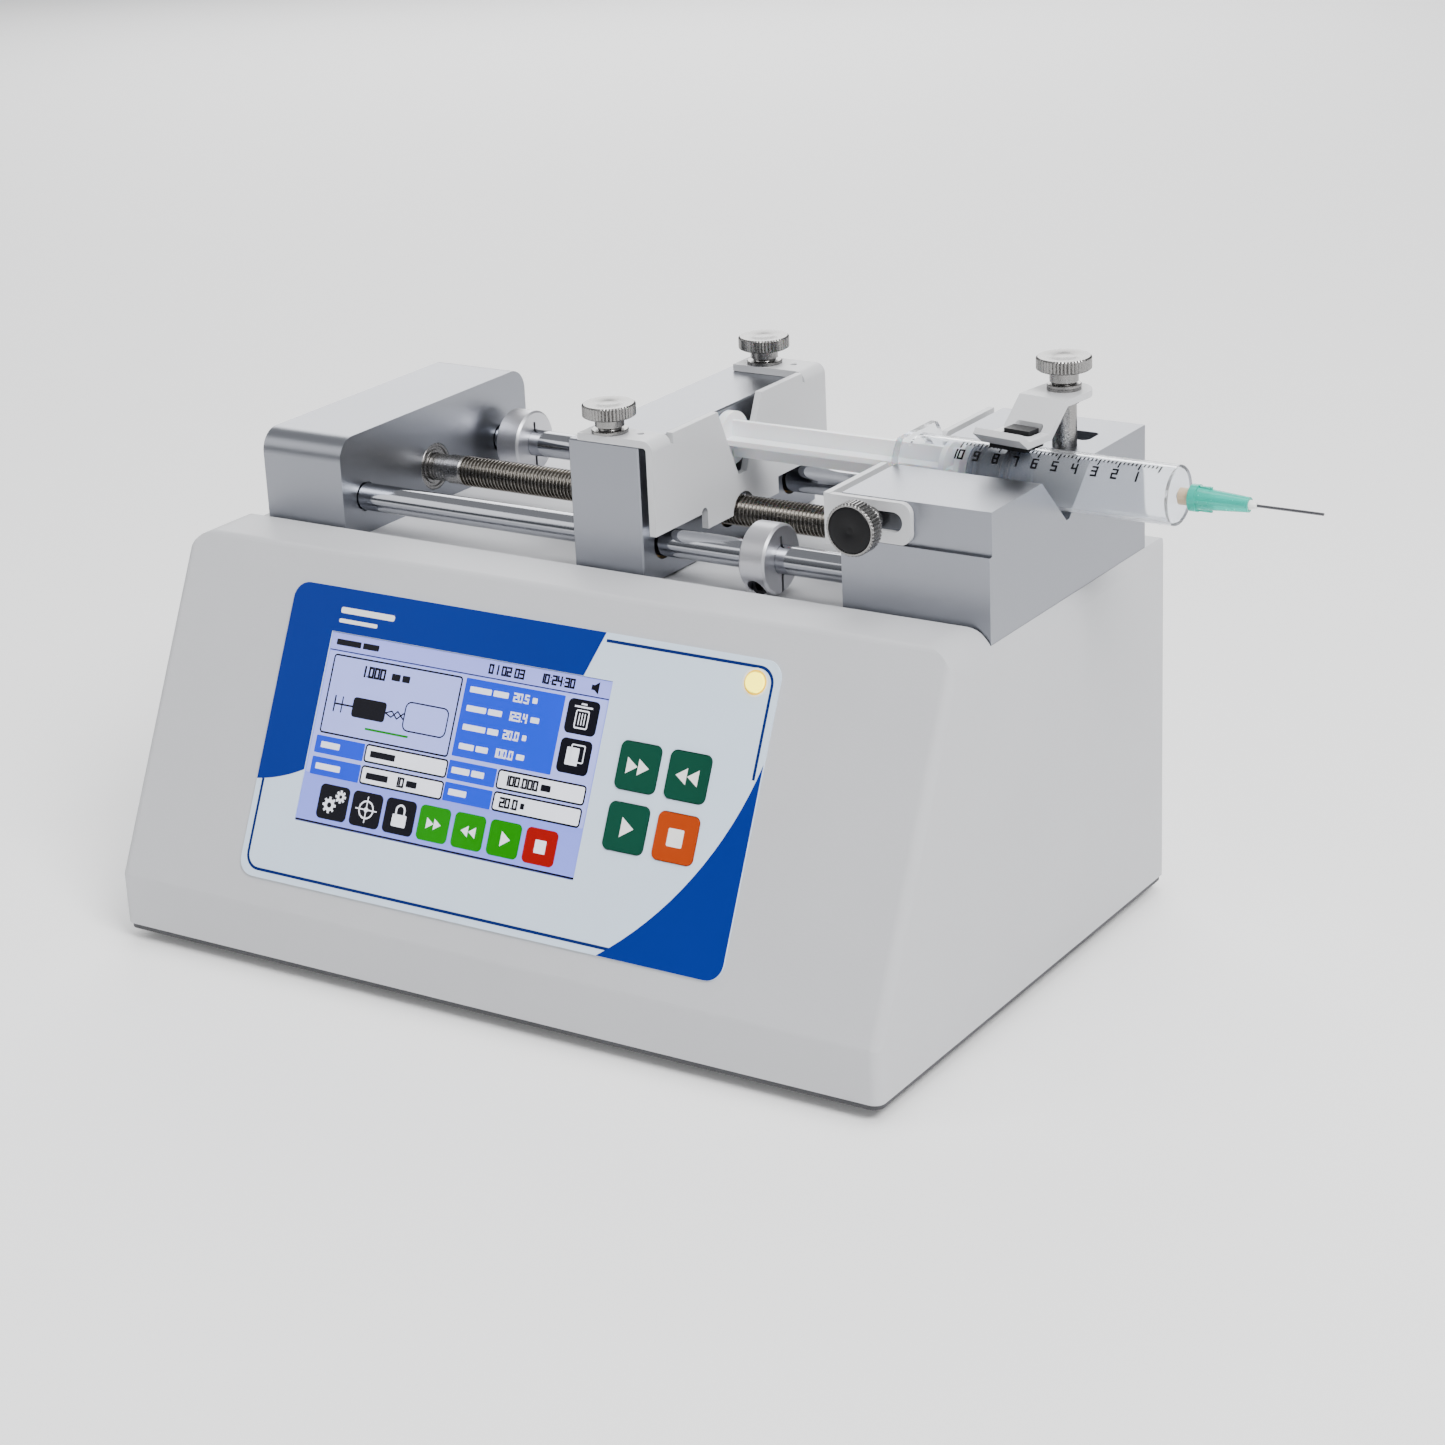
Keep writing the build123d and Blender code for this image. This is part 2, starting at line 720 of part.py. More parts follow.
with BuildPart() as serial_port:
    with BuildSketch(rear_plane(serial_left, inlet_rise)):
        RectangleRounded(serial_width + 12.0, serial_height + 2.0, 1.0)
    extrude(amount=1.0)
    with BuildSketch(rear_plane(serial_left, inlet_rise)):
        RectangleRounded(serial_width - 1.0, serial_height - 1.5, 2.5)
    extrude(amount=rear_proud)
    with BuildSketch(rear_plane(serial_left, inlet_rise)):
        Rectangle(serial_width, serial_height)
    extrude(amount=-8.0)
    with BuildSketch(rear_plane(serial_left, inlet_rise, rear_proud)):
        with GridLocations(2.7, 2.8, 5, 2):
            Circle(0.6)
    extrude(amount=-5.0, mode=Mode.SUBTRACT)
export(serial_port, "serial_port")

# ================================================================ blocks on the deck
post_x = cradle_x0 + post_inset
post_y = block_front + post_setback
journal_end = cradle_x0 + 9.0
thread_x0 = drive_x1 + journal_length
thread_x1 = cradle_x0 - 1.5

with BuildPart() as drive_block:
    with BuildSketch(across_plane(drive_x0)):
        with Locations(((block_front + block_back) / 2, z_deck + drive_height / 2)):
            Rectangle(block_depth, drive_height)
    extrude(amount=drive_width)
    top_edges = drive_block.edges().filter_by(Axis.X).filter_by_position(
        Axis.Z, z_deck + drive_height - 1, z_deck + drive_height + 1
    )
    fillet(top_edges, radius=drive_round)
    with BuildSketch(across_plane(drive_x1)):
        with Locations((rod_front_y, axis_z), (rod_rear_y, axis_z)):
            Circle(rod_radius + seat_gap)
    extrude(amount=-rod_seat, mode=Mode.SUBTRACT)
    with BuildSketch(across_plane(drive_x1)):
        with Locations((rod_front_y, axis_z), (rod_rear_y, axis_z)):
            Circle(rod_radius + rod_mouth / 2)
    extrude(amount=-rod_mouth, mode=Mode.SUBTRACT)
    with BuildSketch(across_plane(drive_x1)):
        with Locations((axis_y, axis_z)):
            Circle(bearing_outer + seat_gap)
    extrude(amount=-bearing_width, mode=Mode.SUBTRACT)
    with BuildSketch(across_plane(drive_x1)):
        with Locations((axis_y, axis_z)):
            Circle(bearing_inner + 0.8)
    extrude(amount=-drive_width / 2, mode=Mode.SUBTRACT)
    # pulley chamber, open to the deck
    with BuildSketch(across_plane(pocket_x0)):
        with Locations((axis_y, axis_z)):
            Circle(pocket_half)
        with Locations((axis_y, axis_z - pocket_half / 2)):
            Rectangle(2 * pocket_half, pocket_half)
    extrude(amount=pocket_x1 - pocket_x0, mode=Mode.SUBTRACT)
    with BuildSketch(Plane.XY.offset(z_deck)):
        with Locations(*drive_screws):
            Circle(m4_radius + running_gap)
    extrude(amount=block_tap_depth + 1.0, mode=Mode.SUBTRACT)
export(drive_block, "drive_block")

groove_radius = barrel_radius + 2 * seat_gap
groove_apex = syringe_z - groove_radius * sqrt(2)
groove_flat = 0.85  # half width of the flat at the bottom
pocket_left = 15.0
pocket_right = 36.5
pocket_front = 69.9
pocket_back = 78.2
pocket_depth = 6.0
with BuildPart() as cradle_block:
    with BuildSketch(across_plane(cradle_x0)):
        with BuildLine():
            Polyline(
                (block_front, z_deck),
                (block_front, z_cradle - rebate_height),
                (block_front + rebate_depth, z_cradle - rebate_height),
                (block_front + rebate_depth, z_cradle),
                (axis_y - (z_cradle - groove_apex), z_cradle),
                (axis_y - groove_flat, groove_apex + groove_flat),
                (axis_y + groove_flat, groove_apex + groove_flat),
                (axis_y + (z_cradle - groove_apex), z_cradle),
                (block_back, z_cradle),
                (block_back, z_deck),
                close=True,
            )
        make_face()
    extrude(amount=cradle_width)
    with BuildSketch(across_plane(cradle_x0)):
        with Locations((rod_front_y, axis_z), (rod_rear_y, axis_z)):
            Circle(rod_radius + seat_gap)
    extrude(amount=rod_seat, mode=Mode.SUBTRACT)
    with BuildSketch(across_plane(cradle_x0)):
        with Locations((axis_y, axis_z)):
            Circle(bearing_outer + seat_gap)
    extrude(amount=bearing_width, mode=Mode.SUBTRACT)
    with BuildSketch(across_plane(cradle_x0)):
        with Locations((axis_y, axis_z)):
            Circle(bearing_inner + 0.8)
    extrude(amount=journal_end - cradle_x0 + 1.0, mode=Mode.SUBTRACT)
    # spare slot behind the clamp post
    with BuildSketch(Plane.XY.offset(z_cradle)):
        with Locations(
            (cradle_x0 + (pocket_left + pocket_right) / 2, block_front + (pocket_front + pocket_back) / 2)
        ):
            RectangleRounded(pocket_right - pocket_left, pocket_back - pocket_front, 2.0)
    extrude(amount=-pocket_depth, mode=Mode.SUBTRACT)
    # clamp post bore over its spring chamber
    with BuildSketch(Plane.XY.offset(z_deck)):
        with Locations((post_x, post_y)):
            Circle(chamber_radius)
    extrude(amount=post_roof, mode=Mode.SUBTRACT)
    with BuildSketch(Plane.XY.offset(z_deck)):
        with Locations((post_x, post_y)):
            Circle(post_radius + running_gap)
    extrude(amount=cradle_height, mode=Mode.SUBTRACT)
    with BuildSketch(Plane.XY.offset(z_deck)):
        with Locations(*cradle_screws):
            Circle(m4_radius + running_gap)
    extrude(amount=block_tap_depth + 1.0, mode=Mode.SUBTRACT)
    # tapped hole for the bracket's thumb screw
    with BuildSketch(Plane.XZ.offset(-block_front - rebate_depth)):
        with Locations((cradle_x0 + bracket_knob_left, z_deck + bracket_knob_height)):
            Circle(m4_radius + running_gap)
    extrude(amount=-11.0, mode=Mode.SUBTRACT)
export(cradle_block, "cradle_block")

block_head_radius = 3.5
block_head_height = 4.0
with BuildPart() as block_screws:
    with BuildSketch(Plane.XY.offset(z_deck - wall)):
        with Locations(*cradle_screws):
            Circle(block_head_radius)
            RegularPolygon(radius=1.7, side_count=6, mode=Mode.SUBTRACT)
    extrude(amount=-block_head_height)
    with BuildSketch(Plane.XY.offset(z_deck - wall - 1.5)):
        with Locations(*cradle_screws):
            Circle(m4_radius)
    extrude(amount=block_tap_depth + wall + 1.5)
    with BuildSketch(Plane.XY.offset(z_deck - wall - bracket_thickness)):
        with Locations(*drive_screws):
            Circle(block_head_radius)
            RegularPolygon(radius=1.7, side_count=6, mode=Mode.SUBTRACT)
    extrude(amount=-block_head_height)
    with BuildSketch(Plane.XY.offset(z_deck - wall - bracket_thickness - 1.5)):
        with Locations(*drive_screws):
            Circle(m4_radius)
    extrude(amount=block_tap_depth + wall + bracket_thickness + 1.5)
export(block_screws, "block_screws")

# ================================================================ screw, rods and bearings
for label, rod_y in (("guide_rod_front", rod_front_y), ("guide_rod_rear", rod_rear_y)):
    with BuildPart() as guide_rod:
        with BuildSketch(across_plane(drive_x1 - rod_seat + 0.5)):
            with Locations((rod_y, axis_z)):
                Circle(rod_radius)
        extrude(amount=cradle_x0 - drive_x1 + 2 * rod_seat - 1.0)
        chamfer(guide_rod.edges().filter_by(GeomType.CIRCLE), length=0.4)
    export(guide_rod, label)

with BuildPart() as screw_bearings:
    with BuildSketch(across_plane(drive_x1)):
        with Locations((axis_y, axis_z)):
            Circle(bearing_outer)
            Circle(bearing_inner, mode=Mode.SUBTRACT)
    extrude(amount=-bearing_width)
    with BuildSketch(across_plane(drive_x1)):
        with Locations((axis_y, axis_z)):
            Circle(bearing_outer - 1.0)
            Circle(bearing_inner + 1.0, mode=Mode.SUBTRACT)
    extrude(amount=-0.5, mode=Mode.SUBTRACT)
    with BuildSketch(across_plane(cradle_x0)):
        with Locations((axis_y, axis_z)):
            Circle(bearing_outer)
            Circle(bearing_inner, mode=Mode.SUBTRACT)
    extrude(amount=bearing_width)
export(screw_bearings, "screw_bearings")

with BuildPart() as lead_screw:
    with BuildSketch(across_plane(pulley_x0 + 0.5)):
        with Locations((axis_y, axis_z)):
            Circle(journal_radius)
    extrude(amount=journal_end - pulley_x0 - 0.5)
    with BuildSketch(across_plane(thread_x0)):
        with Locations((axis_y, axis_z)):
            Circle(screw_radius)
    extrude(amount=thread_x1 - thread_x0)
    chamfer(
        lead_screw.edges().filter_by(GeomType.CIRCLE).filter_by(lambda e: e.radius > screw_radius - 0.1),
        length=0.4,
    )
export(lead_screw, "lead_screw")

for label, pulley_z, bore in (
    ("screw_pulley", axis_z, journal_radius),
    ("motor_pulley", motor_z, motor_shaft_radius),
):
    with BuildPart() as pulley:
        with BuildSketch(across_plane(pulley_x0)):
            with Locations((axis_y, pulley_z)):
                Circle(pulley_flange)
        extrude(amount=pulley_width)
        with BuildSketch(across_plane(pulley_x0 + pulley_flange_width)):
            with Locations((axis_y, pulley_z)):
                Circle(pulley_flange)
                Circle(pulley_radius, mode=Mode.SUBTRACT)
        extrude(amount=pulley_width - 2 * pulley_flange_width, mode=Mode.SUBTRACT)
        with BuildSketch(across_plane(pulley_x0)):
            with Locations((axis_y, pulley_z)):
                Circle(bore)
        extrude(amount=pulley_width, mode=Mode.SUBTRACT)
    export(pulley, label)

belt_inner = pulley_radius + belt_gap
belt_outer = belt_inner + belt_thickness
belt_middle = (axis_z + motor_z) / 2
with BuildPart() as timing_belt:
    with BuildSketch(across_plane((pulley_x0 + pulley_x1 - belt_width) / 2)):
        with Locations((axis_y, belt_middle)):
            SlotOverall(axis_z - motor_z + 2 * belt_outer, 2 * belt_outer, rotation=90)
            SlotOverall(
                axis_z - motor_z + 2 * belt_inner, 2 * belt_inner, rotation=90, mode=Mode.SUBTRACT
            )
    extrude(amount=belt_width)
export(timing_belt, "timing_belt")

# ================================================================ motor
motor_x = pocket_x1 + 3.5  # front face of the bracket
motor_face = motor_x + bracket_thickness
with BuildPart() as motor_bracket:
    with BuildSketch(across_plane(motor_x)):
        with Locations((axis_y, motor_z)):
            Rectangle(motor_size + 2.0, motor_size + 2.0)
        with Locations((axis_y, (motor_z + z_deck - wall) / 2)):
            Rectangle(motor_size + 2.0, z_deck - wall - motor_z)
        with Locations((axis_y, motor_z)):
            Circle(motor_boss_radius + clearance, mode=Mode.SUBTRACT)
            with GridLocations(motor_hole_spacing, motor_hole_spacing, 2, 2):
                Circle(m3_radius + clearance, mode=Mode.SUBTRACT)
    extrude(amount=bracket_thickness)
    with BuildSketch(Plane.XY.offset(z_deck - wall)):
        with Locations(((drive_x0 + motor_face) / 2, axis_y)):
            Rectangle(motor_face - drive_x0, rod_spacing + 14.0)
        with Locations(((pocket_x0 + pocket_x1) / 2, axis_y)):
            Rectangle(pocket_x1 - pocket_x0, 2 * pocket_half, mode=Mode.SUBTRACT)
        with Locations(*drive_screws):
            Circle(m4_radius + clearance, mode=Mode.SUBTRACT)
    extrude(amount=-bracket_thickness)
export(motor_bracket, "motor_bracket")

with BuildPart() as stepper_motor:
    with BuildSketch(across_plane(motor_face)):
        with Locations((axis_y, motor_z)):
            RectangleRounded(motor_size, motor_size, 4.0)
            with GridLocations(motor_hole_spacing, motor_hole_spacing, 2, 2):
                Circle(m3_radius + running_gap, mode=Mode.SUBTRACT)
    extrude(amount=motor_length)
    with BuildSketch(across_plane(motor_face)):
        with Locations((axis_y, motor_z)):
            Circle(motor_boss_radius)
    extrude(amount=-motor_boss_height)
    with BuildSketch(across_plane(motor_face - motor_boss_height)):
        with Locations((axis_y, motor_z)):
            Circle(motor_shaft_radius + running_gap)
    extrude(amount=motor_length / 2, mode=Mode.SUBTRACT)
export(stepper_motor, "stepper_motor")

with BuildPart() as motor_shaft:
    with BuildSketch(across_plane(pulley_x0 - 0.5)):
        with Locations((axis_y, motor_z)):
            Circle(motor_shaft_radius)
    extrude(amount=motor_face - pulley_x0 + motor_length / 3)
export(motor_shaft, "motor_shaft")

motor_head_radius = 2.75
with BuildPart() as motor_screws:
    with BuildSketch(across_plane(motor_x)):
        with Locations((axis_y, motor_z)):
            with GridLocations(motor_hole_spacing, motor_hole_spacing, 2, 2):
                Circle(motor_head_radius)
    extrude(amount=-3.0)
    with BuildSketch(across_plane(motor_x)):
        with Locations((axis_y, motor_z)):
            with GridLocations(motor_hole_spacing, motor_hole_spacing, 2, 2):
                Circle(m3_radius)
    extrude(amount=bracket_thickness + 6.0)
export(motor_screws, "motor_screws")

# ================================================================ carriage
bush_outer = 6.0
bush_recess = 2.0
nut_radius = 8.0
nut_recess = 2.8
knob_front_y = axis_y - knob_spread / 2
knob_rear_y = axis_y + knob_spread / 2
knob_x = (carriage_x0 + carriage_x1) / 2
with BuildPart() as carriage_block:
    with BuildSketch(across_plane(carriage_x0)):
        with Locations(
            ((block_front + block_back) / 2, z_deck + (carriage_clearance + carriage_top) / 2)
        ):
            Rectangle(block_depth, carriage_top - carriage_clearance)
    extrude(amount=carriage_width)
    chamfer(carriage_block.edges(), length=0.4)
    with BuildSketch(across_plane(carriage_x0)):
        with Locations((rod_front_y, axis_z), (rod_rear_y, axis_z)):
            Circle(bush_outer)
    extrude(amount=carriage_width - bush_recess, mode=Mode.SUBTRACT)
    with BuildSketch(across_plane(carriage_x0)):
        with Locations((rod_front_y, axis_z), (rod_rear_y, axis_z)):
            Circle(rod_radius + 0.9)
    extrude(amount=carriage_width, mode=Mode.SUBTRACT)
    with BuildSketch(across_plane(carriage_x0)):
        with Locations((axis_y, axis_z)):
            Circle(nut_radius)
    extrude(amount=carriage_width - nut_recess, mode=Mode.SUBTRACT)
    with BuildSketch(across_plane(carriage_x0)):
        with Locations((axis_y, axis_z)):
            Circle(screw_radius + 0.9)
    extrude(amount=carriage_width, mode=Mode.SUBTRACT)
    with BuildSketch(Plane.XY.offset(z_carriage)):
        with Locations((knob_x, knob_front_y), (knob_x, knob_rear_y)):
            Circle(knob_shank_radius + running_gap)
    extrude(amount=-knob_shank, mode=Mode.SUBTRACT)
export(carriage_block, "carriage_block")

with BuildPart() as rod_bushes:
    with BuildSketch(across_plane(carriage_x0 + bush_recess)):
        with Locations((rod_front_y, axis_z), (rod_rear_y, axis_z)):
            Circle(bush_outer)
            Circle(rod_radius + running_gap, mode=Mode.SUBTRACT)
    extrude(amount=carriage_width - 2 * bush_recess)
export(rod_bushes, "rod_bushes")

with BuildPart() as lead_nut:
    with BuildSketch(across_plane(carriage_x0 + bush_recess)):
        with Locations((axis_y, axis_z)):
            Circle(nut_radius)
            Circle(screw_radius + running_gap, mode=Mode.SUBTRACT)
    extrude(amount=carriage_width - bush_recess - nut_recess)
export(lead_nut, "lead_nut")

retainer_x0 = carriage_x1 + retainer_space
retainer_x1 = retainer_x0 + retainer_thickness
retainer_front = block_front - 0.6
retainer_back = block_back - 0.6
z_retainer = z_carriage + retainer_gap + retainer_thickness
z_plate = z_deck + plate_bottom
tongue_drop = 4.9  # lower edge between the rods, below the rest of the plate
tongue_front = 18.6  # from the screw axis
tongue_gap = 1.1  # round the screw
corner_relief = 1.5
bend_radius = 1.0  # inside of the folds
relief_width = 1.2
relief_depth = 3.0
tab_x0 = retainer_x0 - tab_reach
tab_middle_front = retainer_front + tab_depth_front
tab_middle_back = retainer_back - tab_depth_rear
tongue_low = z_plate - tongue_drop
with BuildPart() as retainer_plate:
    # folded tabs over the two ends
    for tab_y, tab_depth in ((retainer_front, tab_depth_front), (tab_middle_back, tab_depth_rear)):
        with BuildSketch(Plane.XZ.offset(-tab_y)):
            with BuildLine():
                Polyline(
                    (tab_x0, z_retainer),
                    (retainer_x1, z_retainer),
                    (retainer_x1, z_plate),
                    (retainer_x0, z_plate),
                    (retainer_x0, z_retainer - retainer_thickness),
                    (tab_x0, z_retainer - retainer_thickness),
                    close=True,
                )
            make_face()
            fillet(
                vertices().sort_by_distance((retainer_x1, z_retainer))[0],
                radius=retainer_thickness + bend_radius,
            )
            fillet(
                vertices().sort_by_distance((retainer_x0, z_retainer - retainer_thickness))[0],
                radius=bend_radius,
            )
        extrude(amount=-tab_depth)
    # flat middle with the notch for the plunger and the arc over the screw
    with BuildSketch(across_plane(retainer_x0)):
        with Locations(((tab_middle_front + tab_middle_back) / 2, (z_plate + z_retainer) / 2)):
            Rectangle(tab_middle_back - tab_middle_front, z_retainer - z_plate)
        with Locations((axis_y, (z_plate + tongue_low) / 2)):
            Rectangle(2 * tongue_front, tongue_drop)
        with BuildLine():
            Polyline(
                (axis_y - notch_top_half, z_retainer),
                (axis_y - notch_bottom_half, z_deck + notch_bottom),
                (axis_y + notch_bottom_half, z_deck + notch_bottom),
                (axis_y + notch_top_half, z_retainer),
                close=True,
            )
        make_face(mode=Mode.SUBTRACT)
        with Locations((axis_y, axis_z)):
            Circle(screw_radius + tongue_gap, mode=Mode.SUBTRACT)
        with Locations((axis_y - tongue_front - corner_relief, z_plate)):
            Circle(corner_relief, mode=Mode.SUBTRACT)
        with Locations(
            (tab_middle_front + relief_width / 2, z_retainer - relief_depth / 2),
            (tab_middle_back - relief_width / 2, z_retainer - relief_depth / 2),
        ):
            Rectangle(relief_width, relief_depth, mode=Mode.SUBTRACT)
    extrude(amount=retainer_thickness)
    # slots for the thumb screws and the small pin holes
    slot_length = 2 * knob_shank_radius + 2 * clearance + retainer_travel + 0.3
    with BuildSketch(Plane.XY.offset(z_retainer)):
        for tab_y in (knob_front_y, knob_rear_y):
            with Locations((knob_x - retainer_travel / 2, tab_y)):
                SlotOverall(slot_length, 2 * knob_shank_radius + 2 * clearance)
            with Locations((carriage_x1 - 2.5, tab_y + 1.5)):
                Circle(1.0)
    extrude(amount=-retainer_thickness - 0.2, mode=Mode.SUBTRACT)
export(retainer_plate, "retainer_plate")

knob_z = z_retainer + retainer_gap
for label, tab_y in (("retainer_knob_front", knob_front_y), ("retainer_knob_rear", knob_rear_y)):
    with BuildPart() as retainer_knob:
        with BuildSketch(Plane.XY.offset(knob_z)):
            with Locations((knob_x, tab_y)):
                Circle(knob_flange_radius)
        extrude(amount=knob_flange)
        with BuildSketch(Plane.XY.offset(knob_z + knob_flange)):
            with Locations((knob_x, tab_y)):
                Circle(knob_neck_radius)
        extrude(amount=knob_neck)
        with BuildSketch(Plane.XY.offset(knob_z + knob_flange + knob_neck)):
            with Locations((knob_x, tab_y)):
                Circle(knob_radius)
        extrude(amount=knob_rim)
        with BuildSketch(Plane.XY.offset(knob_z)):
            with Locations((knob_x, tab_y)):
                Circle(knob_shank_radius)
        extrude(amount=-knob_shank)
    export(retainer_knob, label)

# ================================================================ stop collars
collar_front_x0 = retainer_x1 + collar_front_gap
collar_rear_x0 = drive_x1 + collar_rear_gap
collar_screw_drop = 6.6
collar_head_radius = 2.4
for side, collar_x0, collar_y in (
    ("front", collar_front_x0, rod_front_y),
    ("rear", collar_rear_x0, rod_rear_y),
):
    with BuildPart() as collar:
        with BuildSketch(across_plane(collar_x0)):
            with Locations((collar_y, axis_z)):
                Circle(collar_radius)
                Circle(rod_radius + running_gap, mode=Mode.SUBTRACT)
        extrude(amount=collar_width)
        chamfer(
            collar.edges().filter_by(GeomType.CIRCLE).filter_by(lambda e: e.radius > rod_radius + 1),
            length=0.6,
        )
        # clamping slit below the rod and a relief slit above it
        with BuildSketch(across_plane(collar_x0)):
            with Locations((collar_y, axis_z - collar_radius / 2 - 1)):
                Rectangle(collar_slit, collar_radius + 2)
            with Locations((collar_y, axis_z + collar_radius / 3)):
                Rectangle(collar_slit, 2 * collar_radius / 3)
        extrude(amount=collar_width, mode=Mode.SUBTRACT)
        # cross hole with a seat for the screw head
        with BuildSketch(Plane.XZ.offset(-collar_y)):
            with Locations((collar_x0 + collar_width / 2, axis_z - collar_screw_drop)):
                Circle(m3_radius + running_gap)
        extrude(amount=collar_radius, both=True, mode=Mode.SUBTRACT)
        with BuildSketch(Plane.XZ.offset(-collar_y + 3.0)):
            with Locations((collar_x0 + collar_width / 2, axis_z - collar_screw_drop)):
                Circle(collar_head_radius + clearance)
        extrude(amount=collar_radius, mode=Mode.SUBTRACT)
    export(collar, f"stop_collar_{side}")

    with BuildPart() as collar_screw:
        with BuildSketch(Plane.XZ.offset(-collar_y + 3.0)):
            with Locations((collar_x0 + collar_width / 2, axis_z - collar_screw_drop)):
                Circle(collar_head_radius)
        extrude(amount=2.4)
        with BuildSketch(Plane.XZ.offset(-collar_y + 3.0)):
            with Locations((collar_x0 + collar_width / 2, axis_z - collar_screw_drop)):
                Circle(m3_radius)
        extrude(amount=-8.0)
        with BuildSketch(Plane.XZ.offset(-collar_y + 5.4)):
            with Locations((collar_x0 + collar_width / 2, axis_z - collar_screw_drop)):
                RegularPolygon(radius=1.4, side_count=6)
        extrude(amount=-1.4, mode=Mode.SUBTRACT)
    export(collar_screw, f"collar_screw_{side}")

# ================================================================ syringe
flange_x0 = x_left + flange_left
barrel_x1 = flange_x0 + barrel_length
bore_radius = barrel_radius - barrel_wall
with BuildPart() as syringe_barrel:
    with BuildSketch(across_plane(flange_x0)):
        with Locations((axis_y, syringe_z)):
            Circle(barrel_radius)
    extrude(amount=barrel_length)
    front_rim = syringe_barrel.faces().sort_by(Axis.X)[-1].edges()
    fillet(front_rim, radius=0.8)
    # flange with its flats above and below
    with BuildSketch(across_plane(flange_x0)):
        with Locations((axis_y, syringe_z)):
            Circle(barrel_flange_radius)
            Rectangle(2 * barrel_flange_radius, barrel_flange_height, mode=Mode.INTERSECT)
    extrude(amount=barrel_flange_thickness)
    with BuildSketch(across_plane(barrel_x1 - barrel_front)):
        with Locations((axis_y, syringe_z)):
            Circle(luer_radius)
    extrude(amount=luer_length + barrel_front)
    with BuildSketch(across_plane(flange_x0)):
        with Locations((axis_y, syringe_z)):
            Circle(bore_radius)
    extrude(amount=barrel_length - barrel_front, mode=Mode.SUBTRACT)
    with BuildSketch(across_plane(flange_x0)):
        with Locations((axis_y, syringe_z)):
            Circle(luer_radius / 2)
    extrude(amount=barrel_length + luer_length, mode=Mode.SUBTRACT)
export(syringe_barrel, "syringe_barrel")

thumb_x0 = carriage_x1 + thumb_gap
stopper_x1 = thumb_x0 + plunger_length
stopper_x0 = stopper_x1 - stopper_length
disc_clearance = 0.5  # plunger discs inside the bore
disc_radius = bore_radius - disc_clearance
disc_thickness = 1.6
disc_gap = 2.2  # between the plunger's end disc and the stopper
nub_radius = 3.0
nub_length = 8.0
plunger_ring_pitch = 4.6
with BuildPart() as syringe_plunger:
    with BuildSketch(across_plane(thumb_x0)):
        with Locations((axis_y, syringe_z)):
            Circle(thumb_radius)
    extrude(amount=thumb_thickness)
    with BuildSketch(across_plane(thumb_x0)):
        with Locations((axis_y, syringe_z)):
            Rectangle(rib_width, rib_thickness)
            Rectangle(rib_thickness, rib_width)
    extrude(amount=plunger_length - stopper_length - disc_gap)
    for disc_x in (
        stopper_x0 - disc_gap - disc_thickness,
        stopper_x0 - disc_gap - disc_thickness - plunger_ring_pitch,
    ):
        with BuildSketch(across_plane(disc_x)):
            with Locations((axis_y, syringe_z)):
                Circle(disc_radius)
        extrude(amount=disc_thickness)
    with BuildSketch(across_plane(stopper_x0 - disc_gap)):
        with Locations((axis_y, syringe_z)):
            Circle(nub_radius)
    extrude(amount=disc_gap + nub_length)
export(syringe_plunger, "syringe_plunger")

stopper_radius = bore_radius - stopper_gap
waist_depth = 0.83
stopper_waist = stopper_radius - waist_depth
stopper_lip = 3.0
stopper_nose = 1.5
with BuildPart() as plunger_stopper:
    with BuildSketch(Plane(origin=(0, axis_y, syringe_z), x_dir=(1, 0, 0), z_dir=(0, -1, 0))):
        with BuildLine():
            Polyline(
                (stopper_x0, 0),
                (stopper_x0, stopper_radius),
                (stopper_x0 + stopper_lip, stopper_radius),
                (stopper_x0 + stopper_lip + 1.0, stopper_waist),
                (stopper_x1 - stopper_nose - stopper_lip - 1.0, stopper_waist),
                (stopper_x1 - stopper_nose - stopper_lip, stopper_radius),
                (stopper_x1 - stopper_nose, stopper_radius),
                (stopper_x1, 0),
                close=True,
            )
        make_face()
    revolve(axis=Axis((0, axis_y, syringe_z), (1, 0, 0)))
    with BuildSketch(across_plane(stopper_x0)):
        with Locations((axis_y, syringe_z)):
            Circle(nub_radius)
    extrude(amount=nub_length, mode=Mode.SUBTRACT)
export(plunger_stopper, "plunger_stopper")

